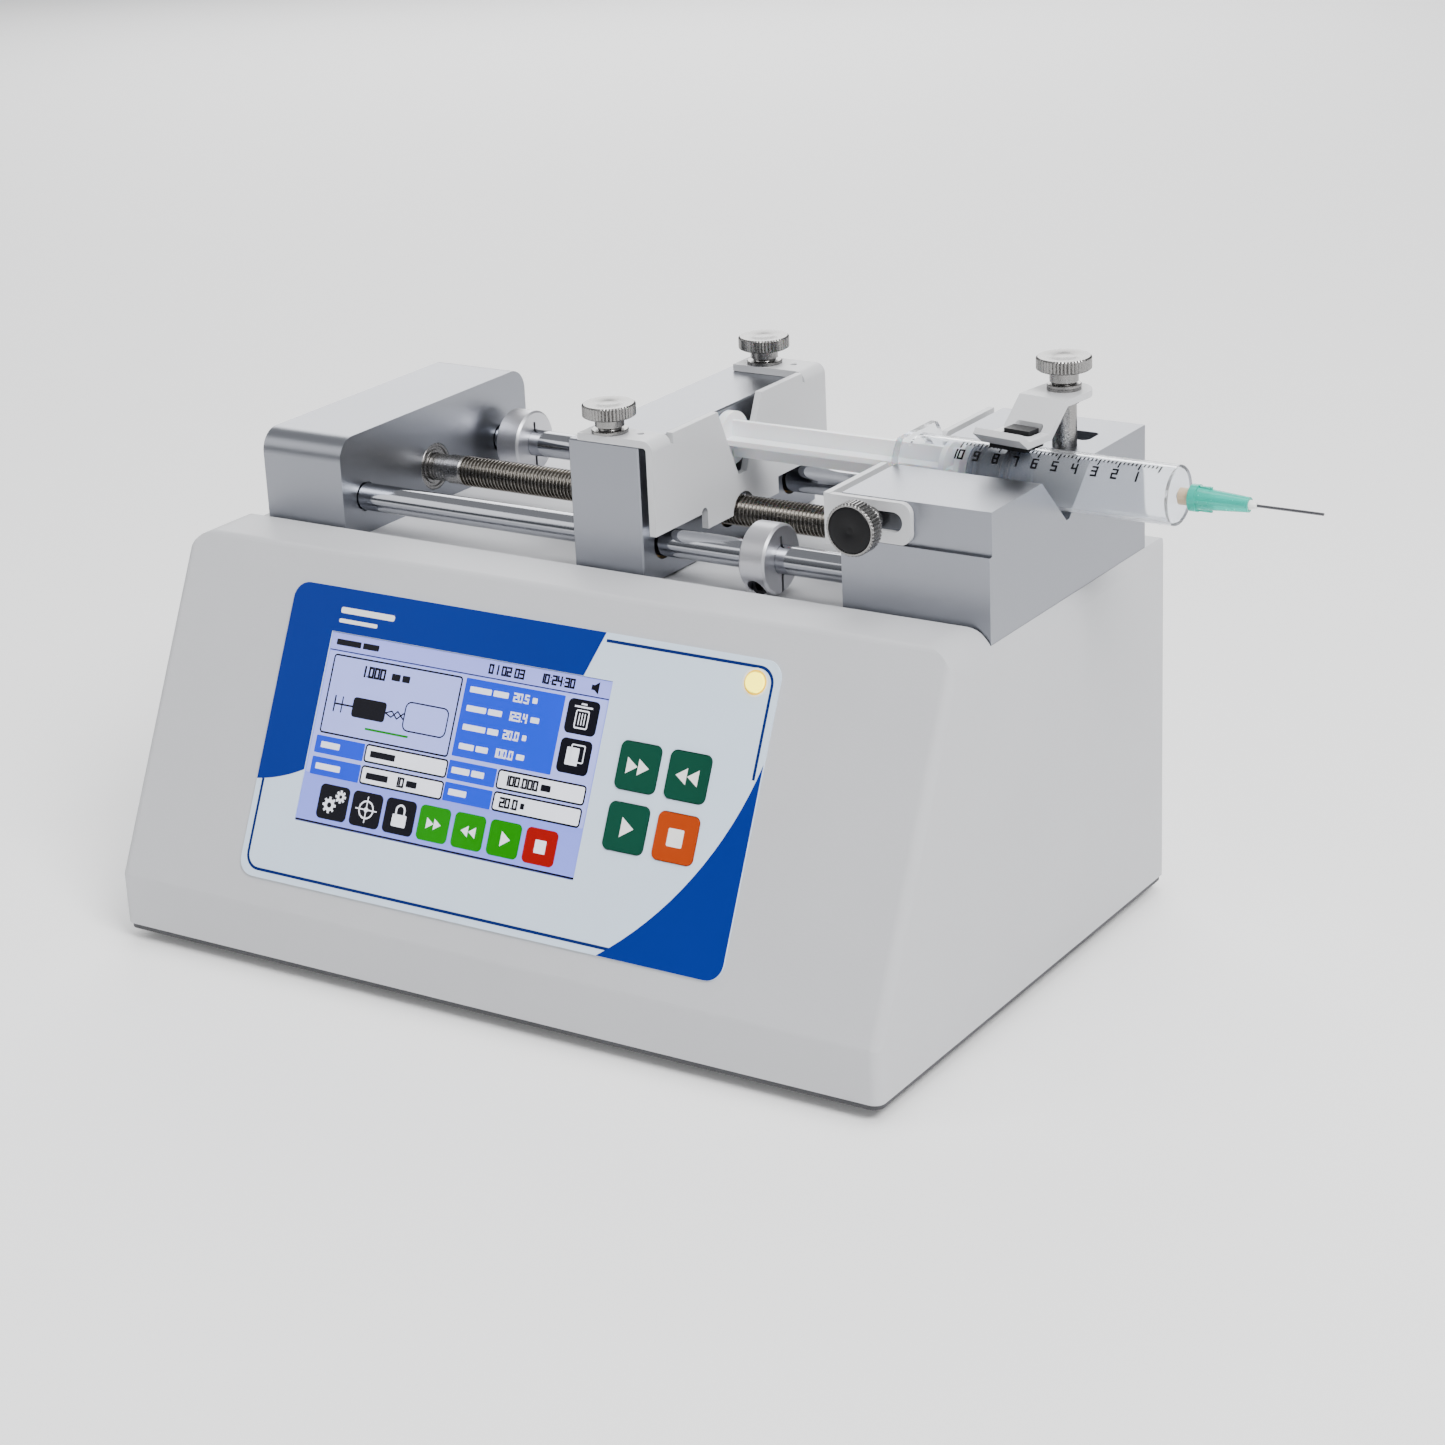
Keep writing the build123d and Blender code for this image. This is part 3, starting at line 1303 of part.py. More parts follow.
hub_x0 = barrel_x1 + luer_gap
hub_x1 = hub_x0 + hub_length
hub_collar = 2.0
hub_end_radius = 2.0
socket_depth = luer_length - luer_gap + 1.0
with BuildPart() as needle_hub:
    with BuildSketch(Plane(origin=(0, axis_y, syringe_z), x_dir=(1, 0, 0), z_dir=(0, -1, 0))):
        with BuildLine():
            Polyline(
                (hub_x0, 0),
                (hub_x0, hub_flange_radius),
                (hub_x0 + hub_collar, hub_flange_radius),
                (hub_x0 + hub_collar, hub_radius),
                (hub_x1, hub_end_radius),
                (hub_x1, hub_end_radius / 2),
                (hub_x1 + hub_tip_length, needle_radius + 0.2),
                (hub_x1 + hub_tip_length, 0),
                close=True,
            )
        make_face()
    revolve(axis=Axis((0, axis_y, syringe_z), (1, 0, 0)))
    with BuildSketch(across_plane(hub_x0)):
        with Locations((axis_y, syringe_z)):
            Circle(luer_radius + seat_gap)
    extrude(amount=socket_depth, mode=Mode.SUBTRACT)
    with BuildSketch(across_plane(hub_x0 + socket_depth)):
        with Locations((axis_y, syringe_z)):
            Circle(needle_radius)
    extrude(amount=hub_length + hub_tip_length, mode=Mode.SUBTRACT)
    # four flutes along the taper
    with BuildSketch(across_plane(hub_x0 + hub_collar)):
        with Locations((axis_y, syringe_z)):
            Rectangle(2 * hub_radius + 0.8, 0.7)
            Rectangle(0.7, 2 * hub_radius + 0.8)
            Circle(luer_radius + 0.3, mode=Mode.SUBTRACT)
    extrude(amount=socket_depth - hub_collar)
export(needle_hub, "needle_hub")

needle_bore = 0.2
with BuildPart() as needle_tube:
    with BuildSketch(across_plane(hub_x0 + socket_depth)):
        with Locations((axis_y, syringe_z)):
            Circle(needle_radius)
            Circle(needle_bore, mode=Mode.SUBTRACT)
    extrude(amount=hub_length - socket_depth + hub_tip_length + needle_exposed)
export(needle_tube, "needle_tube")

# ================================================================ flange bracket
bracket_x0 = flange_x0 - bracket_gap - leg_thickness
bracket_face = block_front + rebate_depth - plate_gap / 3 - leg_thickness
bracket_back = block_back - 0.4
front_leg_drop = 0.2
front_leg_gap = 0.3  # over the step under the rebate
bracket_corner = 3.0
leg_notch_low = 24.5  # above the deck
leg_notch_half = 5.0
leg_notch_front = 14.0
leg_notch_back = 19.6
knob_hole_z = z_deck + bracket_knob_height
with BuildPart() as flange_bracket:
    with BuildSketch(across_plane(bracket_x0)):
        with BuildLine():
            Polyline(
                (bracket_face, z_deck + leg_bottom),
                (bracket_face, z_cradle),
                (axis_y - leg_notch_front, z_cradle),
                (axis_y - leg_notch_half, z_deck + leg_notch_low),
                (axis_y + leg_notch_half, z_deck + leg_notch_low),
                (axis_y + leg_notch_back, z_cradle),
                (bracket_back, z_cradle),
                (bracket_back, z_deck + leg_bottom),
                close=True,
            )
        make_face()
    extrude(amount=leg_thickness)
    leg_low = z_cradle - rebate_height + front_leg_gap
    leg_high = z_cradle - front_leg_drop
    with BuildSketch(Plane.XZ.offset(-bracket_face)):
        with Locations((bracket_x0 + bracket_reach / 2, (leg_low + leg_high) / 2)):
            Rectangle(bracket_reach, leg_high - leg_low)
        free_corners = [v for v in vertices() if v.X > bracket_x0 + bracket_reach / 2]
        fillet(free_corners, radius=bracket_corner)
        slot_length = bracket_reach - bracket_slot_start - bracket_slot_end
        with Locations((bracket_x0 + bracket_slot_start + slot_length / 2, knob_hole_z)):
            SlotOverall(slot_length, bracket_slot_height, mode=Mode.SUBTRACT)
    extrude(amount=-leg_thickness)
export(flange_bracket, "flange_bracket")

bracket_knob_x = cradle_x0 + bracket_knob_left
knob_face = block_front - bracket_knob_standoff
knob_root_radius = 3.6
knob_root = 1.2
knob_stem_radius = 2.5
cap_radius = 5.2
cap_depth = 1.0
with BuildPart() as bracket_knob:
    with BuildSketch(Plane.XZ.offset(-knob_face)):
        with Locations((bracket_knob_x, knob_hole_z)):
            Circle(bracket_knob_radius)
    extrude(amount=-bracket_knob_rim)
    with BuildSketch(Plane.XZ.offset(-knob_face)):
        with Locations((bracket_knob_x, knob_hole_z)):
            Circle(cap_radius + seat_gap)
    extrude(amount=-cap_depth, mode=Mode.SUBTRACT)
    stem_start = knob_face + bracket_knob_rim
    stem_end = bracket_face - retainer_gap
    with BuildSketch(Plane.XZ.offset(-stem_start)):
        with Locations((bracket_knob_x, knob_hole_z)):
            Circle(knob_stem_radius)
    extrude(amount=-(stem_end - stem_start))
    with BuildSketch(Plane.XZ.offset(-stem_end + knob_root)):
        with Locations((bracket_knob_x, knob_hole_z)):
            Circle(knob_root_radius)
    extrude(amount=-knob_root)
    with BuildSketch(Plane.XZ.offset(-stem_end)):
        with Locations((bracket_knob_x, knob_hole_z)):
            Circle(m4_radius)
    extrude(amount=-knob_shank)
export(bracket_knob, "bracket_knob")

with BuildPart() as bracket_knob_cap:
    with BuildSketch(Plane.XZ.offset(-knob_face - cap_depth)):
        with Locations((bracket_knob_x, knob_hole_z)):
            Circle(cap_radius)
    extrude(amount=cap_depth + clearance)
    with BuildSketch(Plane.XZ.offset(-knob_face + clearance)):
        with Locations((bracket_knob_x, knob_hole_z)):
            Circle(1.0)
    extrude(amount=-cap_depth / 2, mode=Mode.SUBTRACT)
export(bracket_knob_cap, "bracket_knob_cap")

# ================================================================ syringe clamp
pad_low = syringe_z + barrel_radius + pad_gap
foot_low = pad_low + pad_thickness
foot_z = foot_low + arm_thickness / 2
arm_z = foot_z + arm_rise
shoulder_z = arm_z - arm_thickness / 2 - retainer_gap
arm_angle = radians(arm_turn)
arm_direction = (-sin(arm_angle), -cos(arm_angle), 0)
with BuildPart() as clamp_post:
    with BuildSketch(Plane.XY.offset(z_deck + seat_lift)):
        with Locations((post_x, post_y)):
            Circle(seat_radius)
    extrude(amount=seat_height)
    with BuildSketch(Plane.XY.offset(z_deck + seat_lift)):
        with Locations((post_x, post_y)):
            Circle(post_radius)
    extrude(amount=shoulder_z - z_deck - seat_lift)
    with BuildSketch(Plane.XY.offset(shoulder_z)):
        with Locations((post_x, post_y)):
            Circle(stud_radius)
    extrude(amount=stud_height)
export(clamp_post, "clamp_post")

spring_low = z_deck + seat_lift + seat_height + retainer_gap
with BuildPart() as clamp_spring:
    with BuildSketch(Plane.XY.offset(spring_low)):
        with Locations((post_x, post_y)):
            Circle(spring_outer)
            Circle(spring_inner, mode=Mode.SUBTRACT)
    extrude(amount=z_deck + post_roof - retainer_gap - spring_low)
export(clamp_spring, "clamp_spring")

clip_radius = 5.0
clip_thickness = 1.0
clip_drop = 1.3  # from the post's shoulder to the clip's underside
with BuildPart() as clamp_clip:
    with BuildSketch(Plane.XY.offset(shoulder_z - clip_drop)):
        with Locations((post_x, post_y)):
            Circle(clip_radius)
            Circle(post_radius, mode=Mode.SUBTRACT)
            with Locations((clip_radius / 2, 0)):
                Rectangle(clip_radius, 2.0, mode=Mode.SUBTRACT)
    extrude(amount=clip_thickness)
export(clamp_clip, "clamp_clip")

window_start = 15.5
window_end = 22.5
window_width = 9.0
arm_side = Plane(
    origin=(post_x, post_y, 0), x_dir=arm_direction, z_dir=(-cos(arm_angle), sin(arm_angle), 0)
)
arm_top = Plane(origin=(post_x, post_y, foot_low - arm_thickness), x_dir=arm_direction, z_dir=(0, 0, 1))
with BuildPart() as clamp_arm:
    # folded strip, seen from its side
    with BuildSketch(arm_side):
        with BuildLine():
            Polyline(
                (-arm_width / 2, arm_z),
                (slope_start, arm_z),
                (foot_start, foot_z),
                (foot_end, foot_z),
                (arm_length, foot_z + lip_rise),
            )
        trace(line_width=arm_thickness)
    extrude(amount=arm_width / 2, both=True)
    # outline seen from above, round over the post
    with BuildSketch(arm_top):
        Circle(arm_width / 2)
        with Locations((arm_length / 2 + arm_thickness, 0)):
            Rectangle(arm_length + 2 * arm_thickness, arm_width)
    extrude(amount=arm_rise + 3 * arm_thickness, mode=Mode.INTERSECT)
    with BuildSketch(arm_top):
        Circle(stud_radius + running_gap)
        with Locations(((window_start + window_end) / 2, 0)):
            RectangleRounded(window_end - window_start, window_width, 1.0)
    extrude(amount=arm_rise + 3 * arm_thickness, mode=Mode.SUBTRACT)
export(clamp_arm, "clamp_arm")

pad_start = 17.5
pad_end = 26.5
pad_width = 12.0
boss_gap = 0.5  # round the pad's boss in the window
boss_rise = 3.0
with BuildPart() as clamp_pad:
    with BuildSketch(Plane(origin=(post_x, post_y, pad_low), x_dir=arm_direction, z_dir=(0, 0, 1))):
        with Locations(((pad_start + pad_end) / 2, 0)):
            RectangleRounded(pad_end - pad_start, pad_width, 1.0)
    extrude(amount=pad_thickness)
    with BuildSketch(Plane(origin=(post_x, post_y, foot_low), x_dir=arm_direction, z_dir=(0, 0, 1))):
        with Locations(((pad_start + window_end - boss_gap) / 2, 0)):
            Rectangle(window_end - boss_gap - pad_start, window_width - 2 * boss_gap)
    extrude(amount=boss_rise)
export(clamp_pad, "clamp_pad")

washer_radius = 4.7
washer_thickness = 0.7
washer_z = arm_z + arm_thickness / 2
with BuildPart() as clamp_washer:
    with BuildSketch(Plane.XY.offset(washer_z)):
        with Locations((post_x, post_y)):
            Circle(washer_radius)
            Circle(stud_radius + running_gap, mode=Mode.SUBTRACT)
    extrude(amount=washer_thickness)
export(clamp_washer, "clamp_washer")

clamp_knob_z = washer_z + washer_thickness + retainer_gap
clamp_neck_radius = 3.95
with BuildPart() as clamp_knob:
    with BuildSketch(Plane.XY.offset(clamp_knob_z)):
        with Locations((post_x, post_y)):
            Circle(washer_radius)
    extrude(amount=knob_flange)
    with BuildSketch(Plane.XY.offset(clamp_knob_z + knob_flange)):
        with Locations((post_x, post_y)):
            Circle(clamp_neck_radius)
    extrude(amount=knob_rim)
    with BuildSketch(Plane.XY.offset(clamp_knob_z + knob_flange + knob_rim)):
        with Locations((post_x, post_y)):
            Circle(clamp_knob_radius)
    extrude(amount=knob_rim)
    with BuildSketch(Plane.XY.offset(clamp_knob_z)):
        with Locations((post_x, post_y)):
            Circle(stud_radius + running_gap)
    extrude(amount=shoulder_z + stud_height + clearance - clamp_knob_z, mode=Mode.SUBTRACT)
export(clamp_knob, "clamp_knob")
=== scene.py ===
"""Look of the syringe pump: camera, light, procedural materials, detail meshes and panel graphics."""
import bpy
import bmesh
import math
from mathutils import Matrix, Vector


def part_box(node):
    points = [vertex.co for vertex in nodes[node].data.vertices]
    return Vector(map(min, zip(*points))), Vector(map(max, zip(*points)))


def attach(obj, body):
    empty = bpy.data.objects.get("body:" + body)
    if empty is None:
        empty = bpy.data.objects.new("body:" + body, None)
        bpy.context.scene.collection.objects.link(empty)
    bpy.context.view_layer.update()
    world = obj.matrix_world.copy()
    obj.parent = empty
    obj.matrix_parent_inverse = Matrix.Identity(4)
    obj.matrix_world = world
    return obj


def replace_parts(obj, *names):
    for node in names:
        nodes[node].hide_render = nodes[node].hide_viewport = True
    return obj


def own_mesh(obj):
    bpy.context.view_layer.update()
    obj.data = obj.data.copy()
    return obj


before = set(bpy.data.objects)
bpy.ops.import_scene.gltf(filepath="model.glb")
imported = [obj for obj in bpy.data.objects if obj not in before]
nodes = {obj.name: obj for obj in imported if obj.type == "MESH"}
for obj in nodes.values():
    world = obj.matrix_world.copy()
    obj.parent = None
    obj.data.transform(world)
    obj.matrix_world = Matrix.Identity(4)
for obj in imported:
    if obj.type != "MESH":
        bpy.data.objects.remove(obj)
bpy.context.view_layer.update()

# ---------------------------------------------------------------- camera
camera = bpy.data.cameras.new("camera")
camera.lens = 81.66
camera.sensor_width = 36.0
camera.clip_start = 0.01
camera.clip_end = 20.0
camera_object = bpy.data.objects.new("camera", camera)
camera_object.rotation_euler = [math.radians(a) for a in (69.3177, 2.4835, 32.3667)]
camera_object.location = (0.4649, -0.7177, 0.3873)
bpy.context.scene.collection.objects.link(camera_object)
bpy.context.scene.camera = camera_object

MM = 0.001
lo = Vector(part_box("casing_shell")[0])
LEFT = lo.x
FRONT = lo.y
SHELL_Z = 3.5 * MM  # underside of the shell
STRIP_HEIGHT, CREST_HEIGHT, SLOPE_RUN = 16.7, 108.6, 45.0
STRIP_Z = SHELL_Z + STRIP_HEIGHT * MM
SLOPE = math.atan2(SLOPE_RUN, CREST_HEIGHT - STRIP_HEIGHT)
FACE_OUT = Vector((0, -math.cos(SLOPE), math.sin(SLOPE)))
FACE_UP = Vector((0, math.sin(SLOPE), math.cos(SLOPE)))


def face_point(s, t, out=0.0):
    """Point on the sloped face, from s and t in millimetres along and up it."""
    return Vector((LEFT + s * MM, FRONT, STRIP_Z)) + FACE_UP * (t * MM) + FACE_OUT * (out * MM)


# ---------------------------------------------------------------- materials
def link(tree, a, b):
    tree.links.new(a, b)


def material(name, color, rough=0.5, metal=0.0, grain=2500.0, grain_bump=0.02, blotch=25.0, tint=0.06,
             rough_vary=0.08, stretch=(1, 1, 1), distance=0.0002, transmission=0.0, ior=1.45, glow=0.0,
             specular=0.5, subsurface=0.0):
    """Principled material with colour, roughness and bump varied by noise in object space."""
    made = bpy.data.materials.new(name)
    made.use_nodes = True
    tree = made.node_tree
    shader = tree.nodes["Principled BSDF"]
    place = tree.nodes.new("ShaderNodeTexCoord")
    mapping = tree.nodes.new("ShaderNodeMapping")
    mapping.inputs["Scale"].default_value = stretch
    link(tree, place.outputs["Object"], mapping.inputs["Vector"])
    fine = tree.nodes.new("ShaderNodeTexNoise")
    fine.inputs["Scale"].default_value = grain
    fine.inputs["Detail"].default_value = 2.0
    link(tree, mapping.outputs["Vector"], fine.inputs["Vector"])
    broad = tree.nodes.new("ShaderNodeTexNoise")
    broad.inputs["Scale"].default_value = blotch
    broad.inputs["Detail"].default_value = 3.0
    link(tree, place.outputs["Object"], broad.inputs["Vector"])
    colors = tree.nodes.new("ShaderNodeValToRGB")
    colors.color_ramp.elements[0].position = 0.3
    colors.color_ramp.elements[1].position = 0.7
    colors.color_ramp.elements[0].color = [c * (1 - tint) for c in color] + [1]
    colors.color_ramp.elements[1].color = [min(1, c * (1 + tint)) for c in color] + [1]
    link(tree, broad.outputs["Fac"], colors.inputs["Fac"])
    link(tree, colors.outputs["Color"], shader.inputs["Base Color"])
    shift = tree.nodes.new("ShaderNodeMapRange")
    shift.inputs["To Min"].default_value = max(0.02, rough - rough_vary)
    shift.inputs["To Max"].default_value = min(1.0, rough + rough_vary)
    link(tree, fine.outputs["Fac"], shift.inputs["Value"])
    link(tree, shift.outputs["Result"], shader.inputs["Roughness"])
    bump = tree.nodes.new("ShaderNodeBump")
    bump.inputs["Strength"].default_value = grain_bump
    bump.inputs["Distance"].default_value = distance
    link(tree, fine.outputs["Fac"], bump.inputs["Height"])
    link(tree, bump.outputs["Normal"], shader.inputs["Normal"])
    shader.inputs["Metallic"].default_value = metal
    shader.inputs["IOR"].default_value = ior
    shader.inputs["Transmission Weight"].default_value = transmission
    shader.inputs["Subsurface Weight"].default_value = subsurface
    shader.inputs["Subsurface Scale"].default_value = 0.002
    shader.inputs["Specular IOR Level"].default_value = specular
    if glow:
        link(tree, colors.outputs["Color"], shader.inputs["Emission Color"])
        shader.inputs["Emission Strength"].default_value = glow
    made.diffuse_color = list(color) + [1]
    return made


powder = material("powder_coat", (0.52, 0.525, 0.545), 0.52, grain=1400, grain_bump=0.12, tint=0.015,
                  distance=0.0003)
painted = material("painted_sheet", (0.58, 0.585, 0.60), 0.42, grain=900, grain_bump=0.06, tint=0.015)
anodised = material("anodised", (0.27, 0.28, 0.31), 0.34, metal=1.0, grain=3200, grain_bump=0.10, blotch=14,
                    tint=0.03, rough_vary=0.06)
collar_metal = material("collar_anodised", (0.56, 0.56, 0.59), 0.40, metal=1.0, grain=3600, grain_bump=0.08,
                        tint=0.03)
chrome = material("chromed_rod", (0.36, 0.37, 0.40), 0.11, metal=1.0, grain=1500, stretch=(1, 6, 6),
                  grain_bump=0.01, tint=0.03, rough_vary=0.03)
steel = material("turned_steel", (0.25, 0.245, 0.24), 0.28, metal=1.0, grain=2600, grain_bump=0.05, tint=0.06,
                 rough_vary=0.08)
thread_steel = material("thread_steel", (0.33, 0.31, 0.28), 0.22, metal=1.0, grain=1200, grain_bump=0.01,
                        tint=0.06)
black_steel = material("black_oxide", (0.03, 0.03, 0.033), 0.38, metal=0.7, grain=2400, grain_bump=0.06,
                       tint=0.15)
sheet_steel = material("zinc_sheet", (0.55, 0.56, 0.57), 0.36, metal=1.0, grain=300, grain_bump=0.05,
                       blotch=120, tint=0.12)
dark_plate = material("dark_plate", (0.05, 0.05, 0.055), 0.55, grain=2200, grain_bump=0.2, tint=0.15)
rubber = material("rubber", (0.025, 0.025, 0.026), 0.72, grain=1800, grain_bump=0.2, tint=0.2)
stopper_rubber = material("stopper_rubber", (0.022, 0.035, 0.065), 0.42, grain=1200, grain_bump=0.06,
                          tint=0.15)
bronze = material("bronze", (0.50, 0.33, 0.14), 0.34, metal=1.0, grain=2000, grain_bump=0.1, tint=0.15)
pcb = material("circuit_board", (0.01, 0.13, 0.05), 0.42, grain=600, grain_bump=0.08, blotch=300, tint=0.25)
black_plastic = material("black_plastic", (0.006, 0.006, 0.007), 0.42, grain=2600, grain_bump=0.12, tint=0.15,
                         specular=0.2)
green_plastic = material("green_key", (0.001, 0.052, 0.030), 0.42, grain=2600, grain_bump=0.08, tint=0.06,
                         specular=0.15)
orange_plastic = material("orange_key", (0.38, 0.04, 0.0), 0.42, grain=2600, grain_bump=0.08, tint=0.05,
                          specular=0.15)
white_ink = material("white_ink", (0.88, 0.88, 0.86), 0.5, grain=2500, grain_bump=0.03, tint=0.02)
overlay_film = material("overlay_film", (0.64, 0.76, 0.90), 0.36, grain=1500, grain_bump=0.04, tint=0.012)
blue_ink = material("blue_ink", (0.0008, 0.018, 0.21), 0.34, grain=1500, grain_bump=0.04, tint=0.03,
                    specular=0.15)
navy_ink = material("navy_ink", (0.001, 0.012, 0.12), 0.4, grain=1500, grain_bump=0.04, tint=0.05,
                    specular=0.15)
plunger_plastic = material("plunger_plastic", (0.84, 0.86, 0.88), 0.32, grain=1400, grain_bump=0.03,
                           tint=0.015, subsurface=0.25)
barrel_plastic = material("barrel_plastic", (0.93, 0.95, 0.98), 0.09, grain=900, grain_bump=0.02, tint=0.01,
                          transmission=0.94, rough_vary=0.03, ior=1.14)
hub_plastic = material("hub_plastic", (0.015, 0.60, 0.47), 0.24, grain=1200, grain_bump=0.02, tint=0.03,
                       transmission=0.40)
needle_steel = material("needle_steel", (0.13, 0.13, 0.14), 0.3, metal=1.0, grain=1800, grain_bump=0.04,
                        tint=0.1)
hub_tip_plastic = material("luer_amber", (0.55, 0.42, 0.28), 0.3, grain=1200, grain_bump=0.02, tint=0.05)
black_ink = material("black_ink", (0.004, 0.004, 0.006), 0.5, grain=2500, grain_bump=0.03, tint=0.1,
                     specular=0.1)
led_plastic = material("amber_led", (1.0, 0.80, 0.06), 0.25, grain=900, grain_bump=0.03, tint=0.1, glow=3.0)
# the amber ring's faint glow is painted light from the status LED, not a lamp of its own
amber_ink_painted_glow = material("amber_ring_painted_glow", (0.90, 0.55, 0.01), 0.4, grain=2500, grain_bump=0.03, tint=0.05, glow=0.3)
screen_base = material("screen", (0.24, 0.29, 0.95), 0.16, grain=2800, grain_bump=0.01, blotch=9, tint=0.05,
                       specular=0.3, glow=0.10)
screen_light = material("screen_light", (0.33, 0.37, 1.0), 0.2, grain=2800, grain_bump=0.01, tint=0.03,
                        specular=0.3, glow=0.10)
screen_pale = material("screen_pale", (0.38, 0.43, 1.0), 0.2, grain=2800, grain_bump=0.01, tint=0.03,
                       specular=0.3, glow=0.14)
screen_blue = material("screen_blue", (0.0, 0.04, 0.72), 0.2, grain=2800, grain_bump=0.01, tint=0.04,
                       specular=0.15, glow=0.08)
screen_dark = material("screen_dark", (0.002, 0.002, 0.006), 0.2, grain=2800, grain_bump=0.01, tint=0.2,
                       specular=0.15)
screen_green = material("screen_green", (0.001, 0.20, 0.001), 0.2, grain=2800, grain_bump=0.01, tint=0.05,
                        specular=0.15, glow=0.10)
screen_red = material("screen_red", (0.30, 0.001, 0.001), 0.2, grain=2800, grain_bump=0.01, tint=0.05,
                      specular=0.15, glow=0.06)
screen_white = material("screen_white", (0.86, 0.88, 0.98), 0.2, grain=2800, grain_bump=0.01, tint=0.02,
                        specular=0.3, glow=0.2)

paint = {
    powder: ["casing_shell"],
    painted: ["retainer_plate", "flange_bracket", "clamp_arm"],
    anodised: ["drive_block", "cradle_block", "carriage_block", "screw_pulley", "motor_pulley"],
    collar_metal: ["stop_collar_front", "stop_collar_rear"],
    chrome: ["guide_rod_front", "guide_rod_rear", "motor_shaft"],
    steel: ["screw_bearings", "clamp_post", "clamp_washer", "base_screws", "block_screws",
            "motor_screws", "panel_nuts", "board_standoffs", "lead_screw", "retainer_knob_front",
            "retainer_knob_rear", "clamp_knob", "bracket_knob", "clamp_spring"],
    needle_steel: ["needle_tube"],
    black_steel: ["collar_screw_front", "collar_screw_rear", "clamp_clip"],
    sheet_steel: ["motor_bracket", "power_supply", "serial_port"],
    dark_plate: ["base_plate", "display_module", "stepper_motor"],
    rubber: ["rubber_feet", "timing_belt"],
    stopper_rubber: ["plunger_stopper"],
    bronze: ["rod_bushes", "lead_nut"],
    pcb: ["key_board", "main_board"],
    black_plastic: ["power_inlet", "switch_housing", "switch_rocker", "clamp_pad", "bracket_knob_cap"],
    green_plastic: ["key_forward", "key_reverse", "key_run"],
    orange_plastic: ["key_stop"],
    overlay_film: ["panel_overlay"],
    screen_base: ["display_glass"],
    plunger_plastic: ["syringe_plunger"],
    barrel_plastic: ["syringe_barrel"],
    hub_plastic: ["needle_hub"],
    led_plastic: ["status_led"],
}
for finish, names in paint.items():
    for name in names:
        mesh = nodes[name].data
        mesh.materials.clear()
        mesh.materials.append(finish)

# softened edges on the CAD pieces that show
for name, width in (
    ("drive_block", 0.35), ("cradle_block", 0.35), ("carriage_block", 0.2), ("retainer_plate", 0.25),
    ("flange_bracket", 0.3), ("clamp_arm", 0.25), ("clamp_pad", 0.3), ("switch_housing", 0.3),
    ("key_forward", 0.25), ("key_reverse", 0.25), ("key_run", 0.25), ("key_stop", 0.25),
):
    soft = nodes[name].modifiers.new("soft_edges", "BEVEL")
    soft.width = width * MM
    soft.segments = 2
    soft.limit_method = "ANGLE"
    soft.angle_limit = math.radians(50)
    soft.harden_normals = True


# ---------------------------------------------------------------- mesh helpers
def new_object(name, mesh, finish, body):
    made = bpy.data.objects.new(name, mesh)
    bpy.context.scene.collection.objects.link(made)
    if finish is not None:
        mesh.materials.append(finish)
    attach(made, body)
    return made


def to_mesh(bm, name):
    mesh = bpy.data.meshes.new(name)
    bm.to_mesh(mesh)
    bm.free()
    return mesh


def smooth_mesh(bm, name, angle):
    """Closed smooth mesh, with edges sharper than angle degrees kept sharp."""
    bmesh.ops.recalc_face_normals(bm, faces=bm.faces)
    mesh = to_mesh(bm, name)
    for polygon in mesh.polygons:
        polygon.use_smooth = True
    mesh.set_sharp_from_angle(angle=math.radians(angle))
    return mesh


def turned(name, profile, origin, axis, finish, body, steps=96, wobble=None, angle=35):
    """Surface turned about an axis: profile is (distance along it, radius) in millimetres."""
    axis = Vector(axis).normalized()
    side = axis.orthogonal().normalized()
    other = axis.cross(side)
    bm = bmesh.new()
    rings = []
    for index, (along, radius) in enumerate(profile):
        ring = []
        for step in range(steps):
            r = radius if wobble is None else radius + wobble(index, step)
            turn = 2 * math.pi * step / steps
            offset = side * (math.cos(turn) * r) + other * (math.sin(turn) * r)
            ring.append(bm.verts.new(Vector(origin) + axis * (along * MM) + offset * MM))
        rings.append(ring)
    for first, second in zip(rings, rings[1:]):
        for step in range(steps):
            after = (step + 1) % steps
            bm.faces.new((first[step], first[after], second[after], second[step]))
    bm.faces.new(list(reversed(rings[0])))
    bm.faces.new(rings[-1])
    return new_object(name, smooth_mesh(bm, name, angle), finish, body)


KNURL_TEETH = 44
KNURL_DEPTH = 0.32


def knurled(name, origin, axis, body, outline, rim):
    """Turned thumb screw from its outline, with rim the indices of its knurled rings."""
    def wobble(index, step):
        return -KNURL_DEPTH if index in rim and step % 3 == 2 else 0.0

    return turned(name, outline, origin, axis, steel, body, KNURL_TEETH * 3, wobble, 28)


# ---------------------------------------------------------------- thumb screws
for name in ("retainer_knob_front", "retainer_knob_rear"):
    low, high = (Vector(v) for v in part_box(name))
    centre = (low + high) / 2
    top = (high.z - low.z) / MM
    base = top - 8.0
    outline = [
        (0.0, 1.6), (0.4, 2.0), (base, 2.0), (base, 5.1), (base + 0.7, 5.1), (base + 0.9, 4.9),
        (base + 0.9, 3.3), (base + 1.3, 3.1), (base + 1.7, 3.3), (base + 1.7, 4.0), (base + 4.0, 4.0),
        (base + 4.3, 3.8), (base + 4.3, 6.7), (base + 4.7, 7.35), (base + 7.6, 7.35), (base + 8.0, 6.9),
        (base + 8.0, 3.0), (base + 7.8, 2.6), (base + 7.8, 0.4),
    ]
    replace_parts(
        knurled(name + "_knurled", (centre.x, centre.y, low.z), (0, 0, 1), name, outline, (13, 14)), name)

